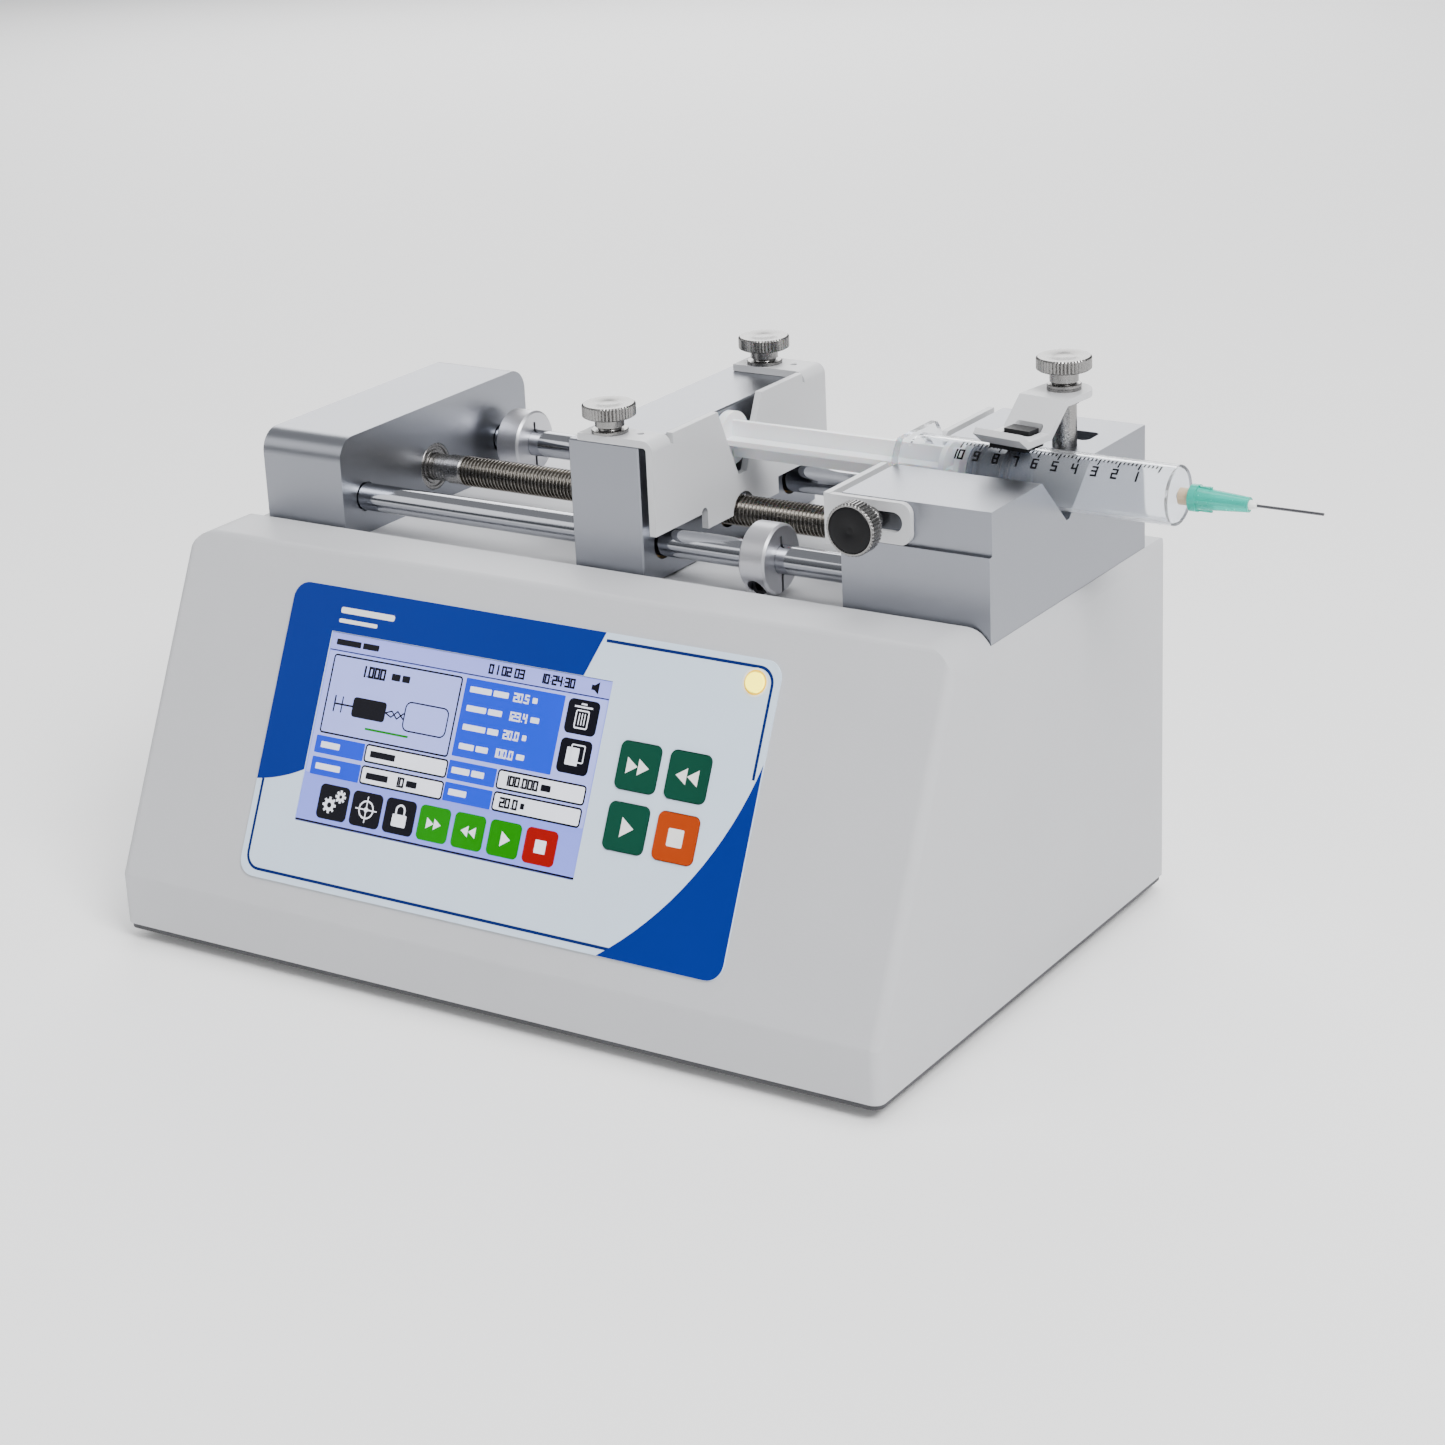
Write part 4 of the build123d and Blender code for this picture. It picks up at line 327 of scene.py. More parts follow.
low, high = (Vector(v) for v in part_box("clamp_knob"))
centre = (low + high) / 2
outline = [
    (0.0, 2.55), (0.0, 4.7), (0.7, 4.7), (0.9, 4.5), (0.9, 3.4), (1.2, 3.2), (1.5, 3.4), (1.5, 3.95),
    (4.3, 3.95), (4.6, 3.7), (4.6, 6.9), (5.0, 7.5), (7.9, 7.5), (8.3, 7.1), (8.3, 3.2), (8.1, 2.8),
    (8.1, 0.4),
]
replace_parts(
    knurled("clamp_knob_knurled", (centre.x, centre.y, low.z), (0, 0, 1), "clamp_knob", outline, (11, 12)),
    "clamp_knob")

low, high = (Vector(v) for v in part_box("bracket_knob"))
centre = (low + high) / 2
outline = [
    (0.7, 0.4), (0.7, 6.2), (0.2, 6.3), (0.2, 6.7), (0.6, 7.1), (4.6, 7.1), (5.0, 6.5), (5.0, 2.5),
    (9.8, 2.5), (9.8, 3.4), (10.0, 3.6), (11.0, 3.6), (11.0, 2.0), (21.6, 2.0), (22.0, 1.6),
]
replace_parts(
    knurled("bracket_knob_knurled", (centre.x, low.y, centre.z), (0, 1, 0), "bracket_knob", outline, (4, 5)),
    "bracket_knob")
cap_outline = [
    (0.06, 0.3), (0.16, 0.8), (0.14, 1.2), (0.03, 1.5), (0.0, 3.6), (0.03, 5.4), (0.16, 6.0), (0.4, 6.2),
    (0.75, 6.2),
]
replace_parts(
    turned("bracket_knob_face", cap_outline, (centre.x, low.y, centre.z), (0, 1, 0), black_plastic,
           "bracket_knob"),
    "bracket_knob_cap")

# ---------------------------------------------------------------- lead screw with its thread
low, high = (Vector(v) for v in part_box("lead_screw"))
axis_y = (low.y + high.y) / 2
axis_z = (low.z + high.z) / 2
DRIVE_X1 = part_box("drive_block")[1][0]
CRADLE_X0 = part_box("cradle_block")[0][0]
THREAD_PITCH, THREAD_OUTER, THREAD_ROOT = 1.25 * MM, 4.5 * MM, 3.55 * MM
thread_x0 = DRIVE_X1 + 11.5 * MM
thread_x1 = CRADLE_X0 - 1.5 * MM


def thread_mesh(name, x0, x1, pitch, outer, root, around=28):
    """Right-hand thread between x0 and x1, as a wound ridge."""
    turns = (x1 - x0) / pitch
    rows = int(turns * around)
    shape = ((0.0, root), (0.34, root), (0.46, outer), (0.62, outer), (0.74, root))
    bm = bmesh.new()
    rings = []
    for row in range(rows + 1):
        turn = 2 * math.pi * row / around
        start = x0 + (x1 - x0) * row / rows - pitch / 2
        ring = []
        for along, radius in shape:
            x = min(max(start + along * pitch, x0), x1)
            place = (x, axis_y + radius * math.cos(turn), axis_z + radius * math.sin(turn))
            ring.append(bm.verts.new(place))
        rings.append(ring)
    for first, second in zip(rings, rings[1:]):
        for k in range(len(shape) - 1):
            bm.faces.new((first[k], first[k + 1], second[k + 1], second[k]))
    for row in range(rows + 1 - around):
        if row + 1 + around <= rows:
            bm.faces.new((rings[row][-1], rings[row + around][0], rings[row + 1 + around][0],
                          rings[row + 1][-1]))
    return smooth_mesh(bm, name, 30)


screw_thread = new_object(
    "lead_screw_thread",
    thread_mesh("lead_screw_thread", thread_x0, thread_x1, THREAD_PITCH, THREAD_OUTER, THREAD_ROOT),
    thread_steel, "screw")
journal = [(0.0, 3.4), (0.5, 3.95)]
length = (high.x - low.x) / MM
start = (DRIVE_X1 - low.x) / MM
for groove in range(5):
    at = start + 0.8 + groove * 1.1
    journal += [(at, 3.95), (at + 0.1, 3.8), (at + 0.45, 3.8), (at + 0.55, 3.95)]
journal += [
    (start + 6.4, 3.95), (start + 6.4, 4.3), (start + 11.0, 4.3), (start + 11.5, 3.8),
    ((thread_x1 - low.x) / MM, 3.8), ((thread_x1 - low.x) / MM + 0.4, 3.95), (length - 0.5, 3.95),
    (length, 3.4),
]
screw_core = turned("lead_screw_core", journal, (low.x, axis_y, axis_z), (1, 0, 0), steel, "screw", steps=64)
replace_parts(screw_core, "lead_screw")

# bearings round the screw at both ends, with dished seals
ring_profile = [
    (4.0, 4.05), (4.0, 6.95), (0.15, 6.95), (0.0, 6.8), (0.0, 6.1), (0.45, 5.9), (0.45, 5.2), (0.0, 5.0),
    (0.0, 4.2), (0.15, 4.05),
]


def bearing_ring(name, face_x, inward):
    """Bearing ring turned about the screw: ring_profile is (depth behind its face, radius)."""
    bm = bmesh.new()
    loops = []
    for step in range(72):
        turn = 2 * math.pi * step / 72
        loops.append([
            bm.verts.new((face_x + inward * depth * MM, axis_y + radius * MM * math.cos(turn),
                          axis_z + radius * MM * math.sin(turn)))
            for depth, radius in ring_profile
        ])
    for step in range(72):
        here, there = loops[step], loops[(step + 1) % 72]
        for k in range(len(ring_profile)):
            nxt = (k + 1) % len(ring_profile)
            bm.faces.new((here[k], here[nxt], there[nxt], there[k]))
    return new_object(name, smooth_mesh(bm, name, 30), steel, "casing")


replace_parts(bearing_ring("screw_bearing_left", DRIVE_X1, -1), "screw_bearings")
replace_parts(bearing_ring("screw_bearing_right", CRADLE_X0, 1), "screw_bearings")

# ---------------------------------------------------------------- clamp spring
low, high = (Vector(v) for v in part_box("clamp_spring"))
COIL_RADIUS, WIRE_RADIUS = 4.6 * MM, 0.42 * MM
COIL_TURNS, PER_TURN, WIRE_SIDES = 7, 24, 8
axis_point = Vector(((low.x + high.x) / 2, (low.y + high.y) / 2, 0))
bm = bmesh.new()
rings = []
for index in range(COIL_TURNS * PER_TURN + 1):
    turn = 2 * math.pi * index / PER_TURN
    out = Vector((math.cos(turn), math.sin(turn), 0))
    rise = (high.z - low.z - 2 * WIRE_RADIUS) * index / (COIL_TURNS * PER_TURN)
    heart = axis_point + out * COIL_RADIUS + Vector((0, 0, low.z + WIRE_RADIUS + rise))
    rings.append([bm.verts.new(heart + (out * math.cos(a) + Vector((0, 0, math.sin(a)))) * WIRE_RADIUS)
                  for a in (2 * math.pi * side / WIRE_SIDES for side in range(WIRE_SIDES))])
for first, second in zip(rings, rings[1:]):
    for side in range(WIRE_SIDES):
        nxt = (side + 1) % WIRE_SIDES
        bm.faces.new((first[side], first[nxt], second[nxt], second[side]))
bm.faces.new(list(reversed(rings[0])))
bm.faces.new(rings[-1])
coil_object = new_object("clamp_spring_coil", smooth_mesh(bm, "clamp_spring_coil", 60), steel, "casing")
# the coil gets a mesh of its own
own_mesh(coil_object)
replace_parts(coil_object, "clamp_spring")


# ---------------------------------------------------------------- flat printed shapes on the sloped face
def rounded_outline(s0, t0, s1, t1, corner, per_corner):
    """Rectangle's outline with round corners of per_corner points each."""
    points = []
    for cs, ct, begin in ((s1 - corner, t0 + corner, -90), (s1 - corner, t1 - corner, 0),
                          (s0 + corner, t1 - corner, 90), (s0 + corner, t0 + corner, 180)):
        points += corner_arc(cs, ct, corner, begin, begin + 90, per_corner - 1)
    return points


class Print:
    """Collects thin printed shapes that lie on one plane, as one mesh for each finish."""

    def __init__(self, name, body, level):
        self.name = name
        self.body = body
        self.level = level
        self.shapes = []

    def poly(self, finish, points, layer=0):
        self.shapes.append((finish, list(points), layer))

    def rect(self, finish, s0, t0, s1, t1, corner=0.0, layer=0):
        if corner <= 0:
            self.poly(finish, [(s0, t0), (s1, t0), (s1, t1), (s0, t1)], layer)
            return
        self.poly(finish, rounded_outline(s0, t0, s1, t1, corner, 7), layer)

    def disc(self, finish, s, t, r, layer=0, sides=24):
        self.poly(finish, circle(s, t, r, sides), layer)

    def line(self, finish, points, width, layer=0, closed=False):
        """Stroke along points, as mitred quads."""
        pts = [Vector(points[0])]
        pts += [Vector(p) for before, p in zip(points, points[1:])
                if (Vector(p) - Vector(before)).length > 1e-4]
        count = len(pts)
        left = []
        right = []
        for index, point in enumerate(pts):
            before = pts[index - 1] if index > 0 or closed else None
            after = pts[(index + 1) % count] if index < count - 1 or closed else None
            a = (point - before).normalized() if before is not None else (after - point).normalized()
            b = (after - point).normalized() if after is not None else a
            normal = Vector((-(a.y + b.y), a.x + b.x))
            normal = normal.normalized() if normal.length > 1e-6 else Vector((-a.y, a.x))
            reach = width / 2 / max(0.4, normal.dot(Vector((-a.y, a.x))))
            left.append(point + normal * reach)
            right.append(point - normal * reach)
        for index in range(count if closed else count - 1):
            nxt = (index + 1) % count
            self.poly(finish, [right[index], right[nxt], left[nxt], left[index]], layer)

    def frame(self, finish, s0, t0, s1, t1, width, corner=0.6, layer=0):
        self.line(finish, rounded_outline(s0, t0, s1, t1, corner, 5), width, layer, closed=True)

    def build(self):
        by_finish = {}
        for finish, points, layer in self.shapes:
            by_finish.setdefault(finish.name, (finish, []))[1].append((points, layer))
        for finish_name, (finish, shapes) in by_finish.items():
            bm = bmesh.new()
            for points, layer in shapes:
                out = self.level + 0.012 * layer
                top = [bm.verts.new(face_point(p[0], p[1], out)) for p in points]
                face = bm.faces.new(top)
                face.normal_update()
                if face.normal.dot(FACE_OUT) < 0:
                    face.normal_flip()
            piece = self.name + "_" + finish_name
            new_object(piece, to_mesh(bm, piece), finish, self.body)


def arc(p0, p1, bulge, steps=16):
    """Points from p0 to p1 along a circle arc that bulges to the left by bulge millimetres."""
    a = Vector(p0)
    b = Vector(p1)
    chord = b - a
    half = chord.length / 2
    radius = (half * half + bulge * bulge) / (2 * abs(bulge))
    normal = Vector((-chord.y, chord.x)).normalized() * (1 if bulge > 0 else -1)
    centre = (a + b) / 2 + normal * (abs(bulge) - radius)
    first = math.atan2(a.y - centre.y, a.x - centre.x)
    last = math.atan2(b.y - centre.y, b.x - centre.x)
    sweep = last - first
    while sweep > math.pi:
        sweep -= 2 * math.pi
    while sweep < -math.pi:
        sweep += 2 * math.pi
    return [(centre.x + radius * math.cos(first + sweep * k / steps),
             centre.y + radius * math.sin(first + sweep * k / steps)) for k in range(steps + 1)]


def circle(s, t, r, sides):
    return [(s + r * math.cos(2 * math.pi * k / sides), t + r * math.sin(2 * math.pi * k / sides))
            for k in range(sides)]


def corner_arc(cs, ct, r, begin, end, steps=8):
    return [(cs + r * math.cos(math.radians(begin + (end - begin) * k / steps)),
             ct + r * math.sin(math.radians(begin + (end - begin) * k / steps))) for k in range(steps + 1)]


OV_S0, OV_S1, OV_T0, OV_T1 = 42.5, 203.7, 8.0, 92.4
overlay_print = Print("overlay_print", "casing", 0.52)
# deep blue over the upper left corner, ending in a slanted edge
blue_outline = (
    corner_arc(OV_S0 + 5.0, OV_T1 - 5.0, 4.95, 90, 180)
    + [(OV_S0 + 0.05, 35.2)]
    + arc((OV_S0 + 0.05, 35.2), (58.3, 40.3), -0.7)[1:]
    + [(58.3, 79.9), (143.9, 79.9), (148.4, OV_T1 - 0.05)]
)
overlay_print.poly(blue_ink, blue_outline, 1)
# navy line round the pale part
line_path = (
    [(148.9, 90.2), (OV_S1 - 6.6, 90.2)]
    + corner_arc(OV_S1 - 6.6, OV_T1 - 6.6, 4.4, 90, 0)
    + [(OV_S1 - 2.2, 61.0)]
)
overlay_print.line(navy_ink, line_path, 0.85, 1)
line_path = (
    [(OV_S0 + 2.3, 35.6), (OV_S0 + 2.3, OV_T0 + 6.6)]
    + corner_arc(OV_S0 + 6.6, OV_T0 + 6.6, 4.3, 180, 270)
    + [(171.0, OV_T0 + 2.3)]
)
overlay_print.line(navy_ink, line_path, 0.85, 1)
# blue sweep in the lower right corner
sweep = arc((OV_S1 - 0.05, 65.5), (165.0, OV_T0 + 0.05), 6.2)
sweep += [(OV_S1 - 5.0, OV_T0 + 0.05)] + corner_arc(OV_S1 - 5.0, OV_T0 + 5.0, 4.95, 270, 360)
overlay_print.poly(blue_ink, sweep, 2)
# plain nameplate: two white bars
overlay_print.rect(white_ink, 60.0, 85.3, 78.8, 87.0, 0.6, 2)
overlay_print.rect(white_ink, 60.0, 82.6, 73.4, 83.7, 0.4, 2)
# amber and white rings printed round the status light; the amber ring glows faintly as painted light from the
# LED
LED_S, LED_T = 196.4, 86.0
for ring_finish, ring_radius in ((amber_ink_painted_glow, 3.1), (white_ink, 3.6)):
    overlay_print.line(ring_finish, circle(LED_S, LED_T, ring_radius, 32), 0.5, 2, closed=True)
overlay_print.build()

# ---------------------------------------------------------------- display picture
D_S0, D_S1, D_T0, D_T1 = 58.5, 153.3, 26.1, 79.7
ui = Print("display_print", "casing", 0.27)
ui.rect(screen_dark, D_S0 + 0.2, D_T1 - 5.0, D_S1 - 0.2, D_T1 - 4.75, layer=1)
ui.rect(screen_light, D_S0 + 0.1, D_T1 - 4.7, D_S1 - 0.1, D_T1 - 0.1, layer=1)
ui.rect(screen_pale, D_S0 + 0.3, D_T0 + 13.8, D_S1 - 0.3, D_T1 - 5.2, 0.4, layer=1)


def bars(finish, s, t, widths, height=1.5, gap=0.7, layer=3):
    """A line of plain blocks where the display shows words."""
    for w in widths:
        ui.rect(finish, s, t - height / 2, s + w, t + height / 2, 0.25, layer)
        s += w + gap


# strokes of each digit, named round from the top: a top, b and c right, d low, e and f left, g middle
STROKES = {"0": "abcdef", "1": "bc", "2": "abged", "3": "abgcd", "4": "fgbc", "5": "afgcd", "6": "afgedc",
           "7": "abc", "8": "abcdefg", "9": "abcfgd"}


def seven(finish, s, t, text, height=2.4, layer=3):
    """Digits, colons and points, drawn as plain strokes."""
    w = height * 0.5
    for mark in text:
        if mark in STROKES:
            top, mid, low = t + height / 2, t, t - height / 2
            lines = {"a": ((s, top), (s + w, top)), "b": ((s + w, top), (s + w, mid)),
                     "c": ((s + w, mid), (s + w, low)), "d": ((s, low), (s + w, low)),
                     "e": ((s, mid), (s, low)), "f": ((s, top), (s, mid)), "g": ((s, mid), (s + w, mid))}
            for stroke in STROKES[mark]:
                (x0, y0), (x1, y1) = lines[stroke]
                grow = height * 0.125
                ui.rect(finish, min(x0, x1) - grow, min(y0, y1) - grow, max(x0, x1) + grow,
                        max(y0, y1) + grow, 0.0, layer)
            s += w * 1.55
        elif mark == ".":
            ui.rect(finish, s - 0.05, t - height / 2 - 0.15, s + 0.35, t - height / 2 + 0.25, 0.0, layer)
            s += w * 0.6
        elif mark == ":":
            ui.rect(finish, s, t - height / 4 - 0.15, s + 0.35, t - height / 4 + 0.2, 0.0, layer)
            ui.rect(finish, s, t + height / 4 - 0.15, s + 0.35, t + height / 4 + 0.2, 0.0, layer)
            s += w * 0.7
        else:
            s += w * 0.8
    return s


bars(screen_dark, 60.5, 77.2, (8.6, 5.6), 1.7)
seven(screen_dark, 130.2, 77.3, "10:24:30", 2.2)
seven(screen_dark, 113.4, 77.3, "01 02 03", 2.2)
# loudspeaker sign
ui.poly(screen_dark, [(147.0, 76.6), (148.0, 76.6), (149.4, 75.6), (149.4, 79.0), (148.0, 78.0),
                      (147.0, 78.0)], 3)
ui.frame(screen_dark, 60.9, 51.6, 105.2, 73.6, 0.5, 0.8, 2)
ui.rect(screen_dark, D_S0, D_T0 + 0.1, D_S1, D_T0 + 0.6, layer=2)
seven(screen_dark, 71.0, 70.3, "1.000", 2.6)
bars(screen_dark, 81.6, 70.2, (3.0, 2.6), 1.9)
# pump pictogram
ui.rect(screen_dark, 70.3, 57.3, 81.9, 62.9, 1.0, 3)
ui.line(screen_dark, [(64.0, 60.1), (70.3, 60.1)], 0.5, 3)
ui.line(screen_dark, [(64.0, 57.8), (64.0, 62.4)], 0.5, 3)
ui.line(screen_dark, [(66.6, 57.8), (66.6, 62.4)], 0.4, 3)
ui.line(screen_dark, [(81.9, 60.1), (84.0, 60.9), (86.0, 59.0), (88.2, 60.9)], 0.4, 3)
ui.line(screen_dark, [(81.9, 60.1), (84.0, 59.2), (86.0, 61.1), (88.2, 59.2)], 0.4, 3)
ui.frame(screen_dark, 88.4, 56.3, 103.0, 64.3, 0.4, 1.8, 3)
ui.rect(screen_green, 76.0, 54.4, 91.0, 55.0, 0.2, 3)
# blue data box
ui.rect(screen_blue, 106.6, 52.2, 139.5, 73.8, 0.3, 3)
for line_t, first, digits, unit in ((70.9, (7.2, 5.0), "20.5", 1.6), (65.7, (6.6, 4.6), "123.4", 2.8),
                                    (60.5, (7.6, 3.6), "20.0", 1.4), (55.2, (5.0, 4.0), "100.0", 2.6)):
    bars(screen_white, 108.4, line_t, first, 1.6, layer=5)
    after = seven(screen_white, 108.4 + sum(first) + 2.6, line_t, digits, 2.0, layer=5)
    bars(screen_white, after + 0.8, line_t, (unit,), 1.5, layer=5)


def icon(finish, s, t, w, h, corner=1.5):
    ui.rect(finish, s - w / 2, t - h / 2, s + w / 2, t + h / 2, corner, 3)


icon(screen_dark, 145.9, 68.9, 10.2, 9.4)
ui.frame(screen_white, 143.9, 65.9, 147.9, 70.6, 0.4, 0.4, 5)
ui.line(screen_white, [(143.0, 71.6), (148.8, 71.6)], 0.45, 5)
ui.line(screen_white, [(145.0, 72.4), (146.8, 72.4)], 0.4, 5)
for offset in (-0.9, 0.0, 0.9):
    ui.line(screen_white, [(145.9 + offset, 66.7), (145.9 + offset, 69.9)], 0.3, 5)
icon(screen_dark, 145.9, 58.2, 10.2, 9.4)
ui.rect(screen_white, 143.2, 55.8, 147.2, 60.6, 0.3, 5)
ui.frame(screen_white, 144.6, 56.8, 148.8, 61.4, 0.35, 0.3, 5)
# label boxes and value boxes
for s0, t0, s1, t1 in ((60.2, 45.7, 77.3, 50.6), (60.2, 39.6, 77.3, 44.6), (106.4, 45.8, 122.4, 51.0),
                       (106.4, 39.8, 122.4, 44.9)):
    ui.rect(screen_blue, s0, t0, s1, t1, 0.3, 3)
for s0, t0, s1, t1 in ((77.9, 45.9, 105.9, 50.6), (77.9, 39.8, 105.9, 44.6), (123.1, 46.0, 151.6, 51.0),
                       (123.1, 40.0, 151.6, 44.9)):
    ui.rect(screen_white, s0, t0, s1, t1, 0.8, 3)
    ui.frame(screen_dark, s0, t0, s1, t1, 0.5, 0.8, 4)
bars(screen_white, 62.2, 48.2, (6.6,), 1.7, layer=5)
bars(screen_white, 61.8, 42.1, (8.6,), 1.7, layer=5)
bars(screen_white, 107.6, 48.4, (6.0, 4.2), 1.7, layer=5)
bars(screen_white, 108.0, 42.4, (6.0,), 1.7, layer=5)
bars(screen_dark, 79.6, 48.2, (8.6,), 1.8, layer=6)
bars(screen_dark, 79.6, 42.1, (7.6,), 1.8, layer=6)
seven(screen_dark, 89.6, 42.1, "10", 2.3, layer=6)
bars(screen_dark, 93.6, 42.1, (3.6,), 1.8, layer=6)
after = seven(screen_dark, 125.4, 48.5, "100.000", 2.3, layer=6)
bars(screen_dark, after + 0.6, 48.4, (3.2,), 1.8, layer=6)
after = seven(screen_dark, 125.4, 42.4, "20.0", 2.3, layer=6)
bars(screen_dark, after + 0.6, 42.4, (1.3,), 1.6, layer=6)
# bottom row of soft keys
row_t = 32.8
for s, finish in ((70.4, screen_dark), (82.0, screen_dark), (93.6, screen_dark), (105.3, screen_green),
                  (117.1, screen_green), (129.0, screen_green), (140.9, screen_red)):
    icon(finish, s, row_t, 10.4, 9.7)
for cs, ct, r in ((69.2, 32.0, 1.7), (72.6, 34.8, 1.2)):
    for k in range(8):
        a = k * math.pi / 4
        tooth = (cs + (r + 0.6) * math.cos(a), ct + (r + 0.6) * math.sin(a))
        ui.line(screen_white, [(cs, ct), tooth], 0.7, 5)
    ui.disc(screen_white, cs, ct, r, 6)
    ui.disc(screen_dark, cs, ct, r * 0.45, 7)
ui.line(screen_white, circle(82.0, row_t, 2.4, 24), 0.45, 5, closed=True)
ui.line(screen_white, [(78.3, row_t), (85.7, row_t)], 0.35, 5)
ui.line(screen_white, [(82.0, row_t - 3.7), (82.0, row_t + 3.7)], 0.35, 5)
ui.disc(screen_white, 82.0, row_t, 0.7, 5)
ui.rect(screen_white, 91.2, 30.0, 96.0, 33.4, 0.4, 5)
shackle = [(92.2, 33.2), (92.2, 34.6)] + corner_arc(93.6, 34.6, 1.4, 180, 0) + [(95.0, 33.2)]
ui.line(screen_white, shackle, 0.55, 5)


def chevrons(target, finish, s, t, size, direction, layer):
    for shift in (-0.52, 0.48):
        x = s + shift * size
        target.poly(finish, [(x - direction * size * 0.45, t - size * 0.62), (x + direction * size * 0.5, t),
                             (x - direction * size * 0.45, t + size * 0.62)], layer)


chevrons(ui, screen_white, 105.3, row_t, 2.5, 1, 5)
chevrons(ui, screen_white, 117.1, row_t, 2.5, -1, 5)
ui.poly(screen_white, [(127.9, row_t - 2.1), (131.0, row_t), (127.9, row_t + 2.1)], 5)
ui.rect(screen_white, 139.1, row_t - 1.8, 142.7, row_t + 1.8, 0.2, 5)
ui.build()

# ---------------------------------------------------------------- symbols on the keys
key_marks = {
    "key_forward": (166.5, 58.7), "key_reverse": (182.1, 58.7),
    "key_run": (166.5, 42.4), "key_stop": (182.1, 42.4),
}
for name, (s, t) in key_marks.items():
    mark = Print(name + "_mark", name, 0.925)
    if name == "key_forward":
        chevrons(mark, white_ink, s, t, 3.6, 1, 0)
    elif name == "key_reverse":
        chevrons(mark, white_ink, s, t, 3.6, -1, 0)
    elif name == "key_run":
        mark.poly(white_ink, [(s - 1.5, t - 2.7), (s + 2.5, t), (s - 1.5, t + 2.7)], 0)
    else:
        mark.rect(white_ink, s - 2.4, t - 2.4, s + 2.4, t + 2.4, 0.4, 0)
    mark.build()

# ---------------------------------------------------------------- syringe details
b_low, b_high = (Vector(v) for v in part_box("syringe_barrel"))
syringe_y = (b_low.y + b_high.y) / 2
syringe_z = (b_low.z + b_high.z) / 2
TIP_LENGTH = 8.0 * MM  # luer tip beyond the barrel's end
MM_PER_ML = 5.76
PRINT_RADIUS = 8.02  # just outside the barrel


def wrap_print(name, marks, radius, finish, body):
    """Marks wrapped on a cylinder along X, each (x0, x1, angle0, angle1) in degrees from the top."""
    bm = bmesh.new()
    for x0, x1, a0, a1 in marks:
        steps = max(1, int(abs(a1 - a0) / 4))
        previous = None
        for step in range(steps + 1):
            a = math.radians(a0 + (a1 - a0) * step / steps)
            out = Vector((0, -math.sin(a), math.cos(a))) * (radius * MM)
            pair = [bm.verts.new(Vector((x, syringe_y, syringe_z)) + out) for x in (x0, x1)]
            if previous:
                face = bm.faces.new((previous[0], previous[1], pair[1], pair[0]))
                face.normal_update()
                if face.normal.dot(out) < 0:
                    face.normal_flip()
            previous = pair
    return new_object(name, to_mesh(bm, name), finish, body)


def digit_marks(text, x, angle, height):
    """Stroke digits for the barrel's scale, standing along the barrel's girth."""
    out = []
    w = height * 0.52
    per_mm = math.degrees(1 / PRINT_RADIUS)
    cursor = 0.0
    for mark in text:
        ends = {"a": (cursor, height, cursor + w, height), "g": (cursor, height / 2, cursor + w, height / 2),
                "d": (cursor, 0, cursor + w, 0), "b": (cursor + w, height / 2, cursor + w, height),
                "c": (cursor + w, 0, cursor + w, height / 2), "e": (cursor, 0, cursor, height / 2),
                "f": (cursor, height / 2, cursor, height)}
        for stroke in STROKES[mark]:
            u0, v0, u1, v1 = ends[stroke]
            g = height * 0.11
            out.append((x + (u0 - g) * MM, x + (u1 + g) * MM,
                        angle + (-v0 + g) * per_mm, angle + (-v1 - g) * per_mm))
        cursor += w * 1.6
    return out


zero_x = (b_high.x - TIP_LENGTH) - 4.2 * MM
scale_marks = []
for tick in range(0, 51):
    x = zero_x - tick * MM_PER_ML * MM / 5
    long = tick % 5 == 0
    reach = 18 if long else 9
    scale_marks.append((x - 0.24 * MM, x + 0.24 * MM, 14, 14 + reach))
for count in range(1, 11):
    x = zero_x - count * MM_PER_ML * MM
    scale_marks += digit_marks(str(count), x - 0.9 * MM * len(str(count)), 55, 2.5)
wrap_print("barrel_scale", scale_marks, PRINT_RADIUS, black_ink, "casing")

# ribs and lips on the stopper
s_low, s_high = (Vector(v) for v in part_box("plunger_stopper"))
lips = [
    (0.0, 3.2), (0.0, 6.7), (0.3, 7.0), (1.1, 7.0), (1.5, 6.4), (2.0, 6.4), (2.4, 7.0), (3.2, 7.0),
    (3.7, 6.2), (6.0, 6.1), (9.2, 6.1), (9.8, 6.3), (10.3, 7.0), (11.3, 7.0), (11.7, 6.4), (12.1, 6.4),
    (12.5, 7.0), (13.2, 7.0), (13.6, 6.6), (14.5, 3.2), (14.85, 0.4),
]
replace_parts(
    turned("stopper_lips", lips, (s_low.x, syringe_y, syringe_z), (1, 0, 0), stopper_rubber, "carriage", 64),
    "plunger_stopper")

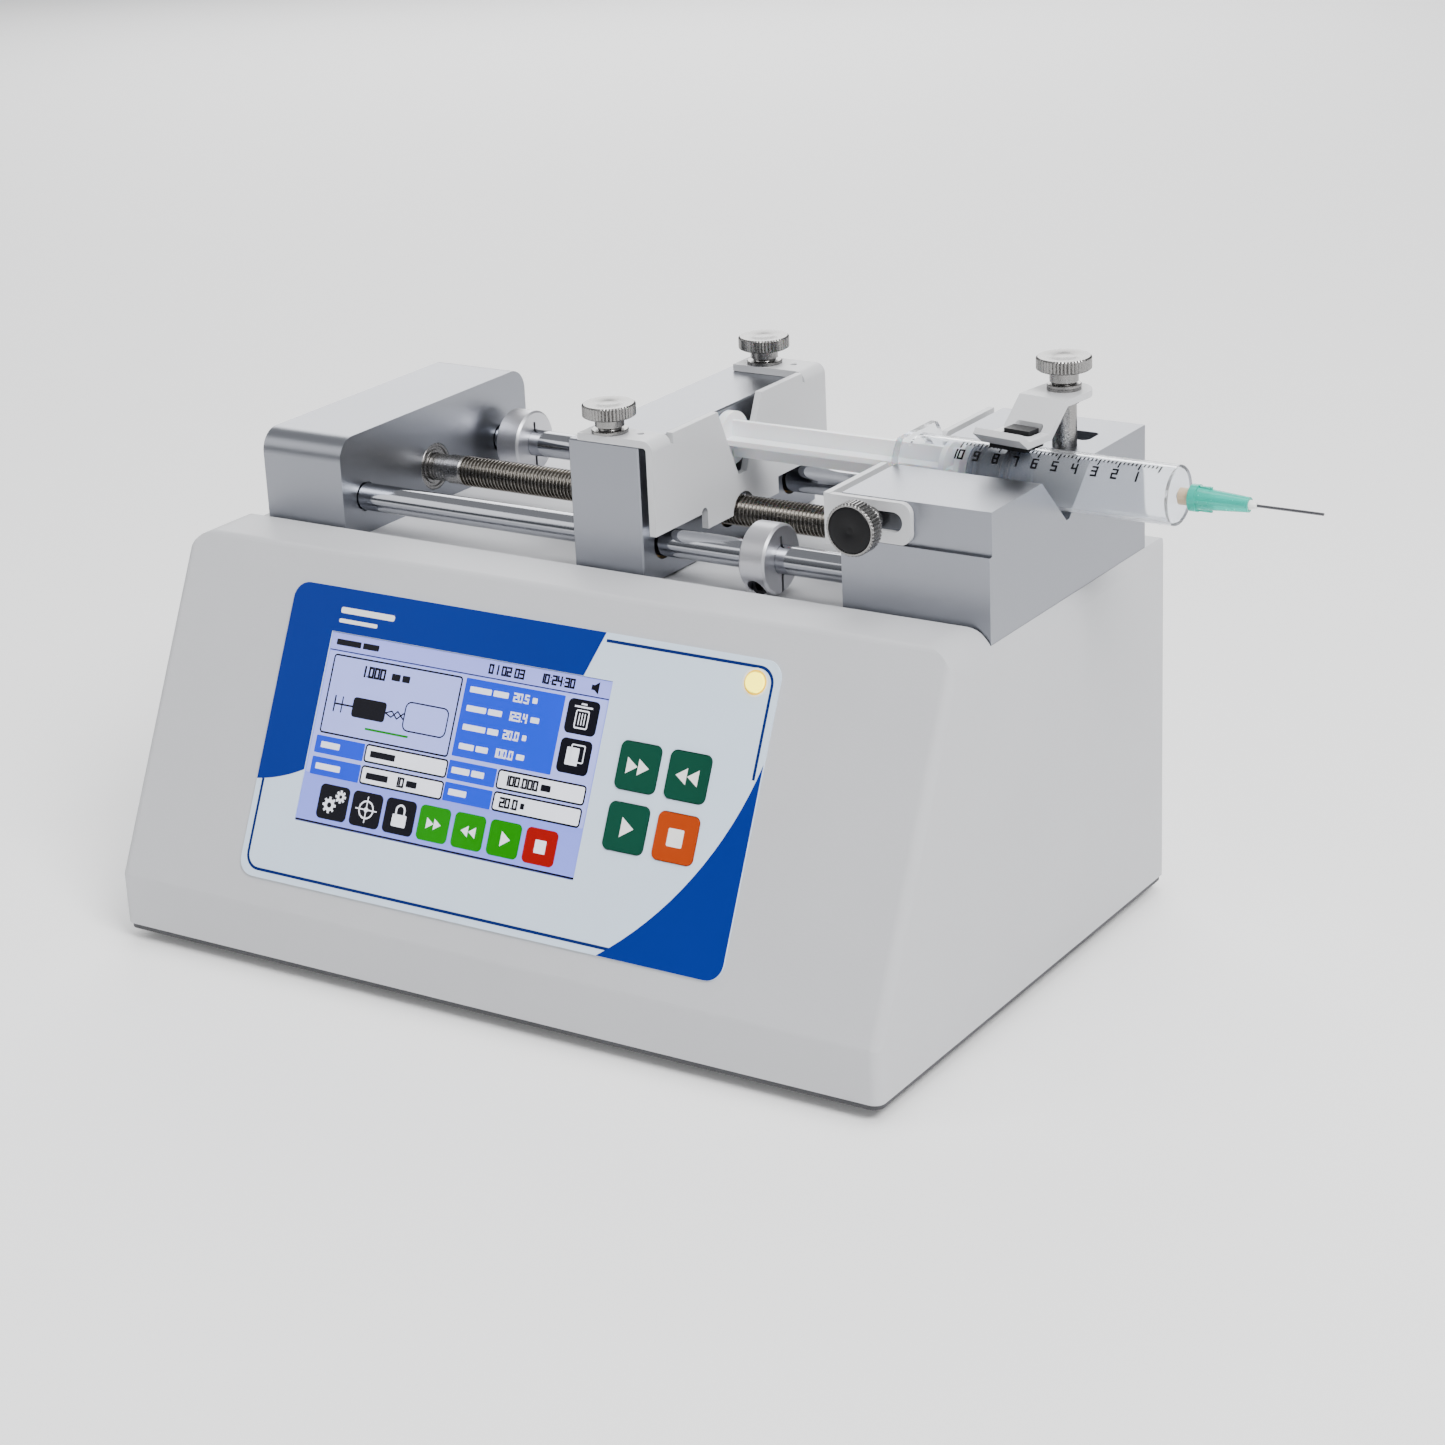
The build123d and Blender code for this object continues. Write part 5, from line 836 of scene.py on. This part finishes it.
# luer cone seen inside the needle hub
turned("luer_cone", [(0.05, 1.2), (0.05, 2.3), (3.2, 2.25), (3.25, 1.2)],
       (b_high.x - TIP_LENGTH, syringe_y, syringe_z), (1, 0, 0), hub_tip_plastic, "casing", 40)
h_low, h_high = (Vector(v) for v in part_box("needle_hub"))
turned("hub_tip", [(0.0, 0.5), (0.0, 1.25), (0.4, 1.3), (2.0, 0.75), (2.15, 0.5)],
       (h_high.x - 2.1 * MM, syringe_y, syringe_z), (1, 0, 0), white_ink, "casing", 32)

# ---------------------------------------------------------------- floor and light
bm = bmesh.new()
bmesh.ops.create_grid(bm, x_segments=4, y_segments=4, size=6.0)
floor_mesh = to_mesh(bm, "floor")
floor = bpy.data.objects.new("floor", floor_mesh)
bpy.context.scene.collection.objects.link(floor)
floor_mesh.materials.append(
    material("floor_paper", (0.95, 0.95, 0.95), 0.9, grain=300, grain_bump=0.02, tint=0.005, glow=0.12))

world = bpy.data.worlds.new("world")
world.use_nodes = True
bpy.context.scene.world = world
sky = world.node_tree
background = sky.nodes["Background"]
direction = sky.nodes.new("ShaderNodeTexCoord")
split = sky.nodes.new("ShaderNodeSeparateXYZ")
shade = sky.nodes.new("ShaderNodeValToRGB")
shade.color_ramp.elements[0].position = 0.0
shade.color_ramp.elements[0].color = (0.30, 0.31, 0.33, 1)
shade.color_ramp.elements[1].position = 0.75
shade.color_ramp.elements[1].color = (1.0, 1.01, 1.03, 1)
link(sky, direction.outputs["Generated"], split.inputs["Vector"])
link(sky, split.outputs["Z"], shade.inputs["Fac"])
link(sky, shade.outputs["Color"], background.inputs["Color"])
background.inputs["Strength"].default_value = 0.5


def area_light(name, place, target, size, power, tone=(1, 1, 1)):
    lamp = bpy.data.lights.new(name, "AREA")
    lamp.energy = power
    lamp.size = size
    lamp.color = tone
    lamp_object = bpy.data.objects.new(name, lamp)
    lamp_object.location = place
    lamp_object.rotation_euler = (Vector(target) - Vector(place)).to_track_quat("-Z", "Y").to_euler()
    bpy.context.scene.collection.objects.link(lamp_object)


area_light("key_light", (1.15, -0.55, 1.45), (0, 0, 0.08), 0.8, 44)
area_light("left_fill", (-1.2, -0.9, 0.9), (0, 0, 0.08), 0.9, 5)
area_light("top_light", (0.1, 0.2, 1.7), (0, 0, 0.1), 1.0, 17)
area_light("back_light", (-0.95, 1.45, 0.85), (0, 0, 0.1), 1.2, 20)
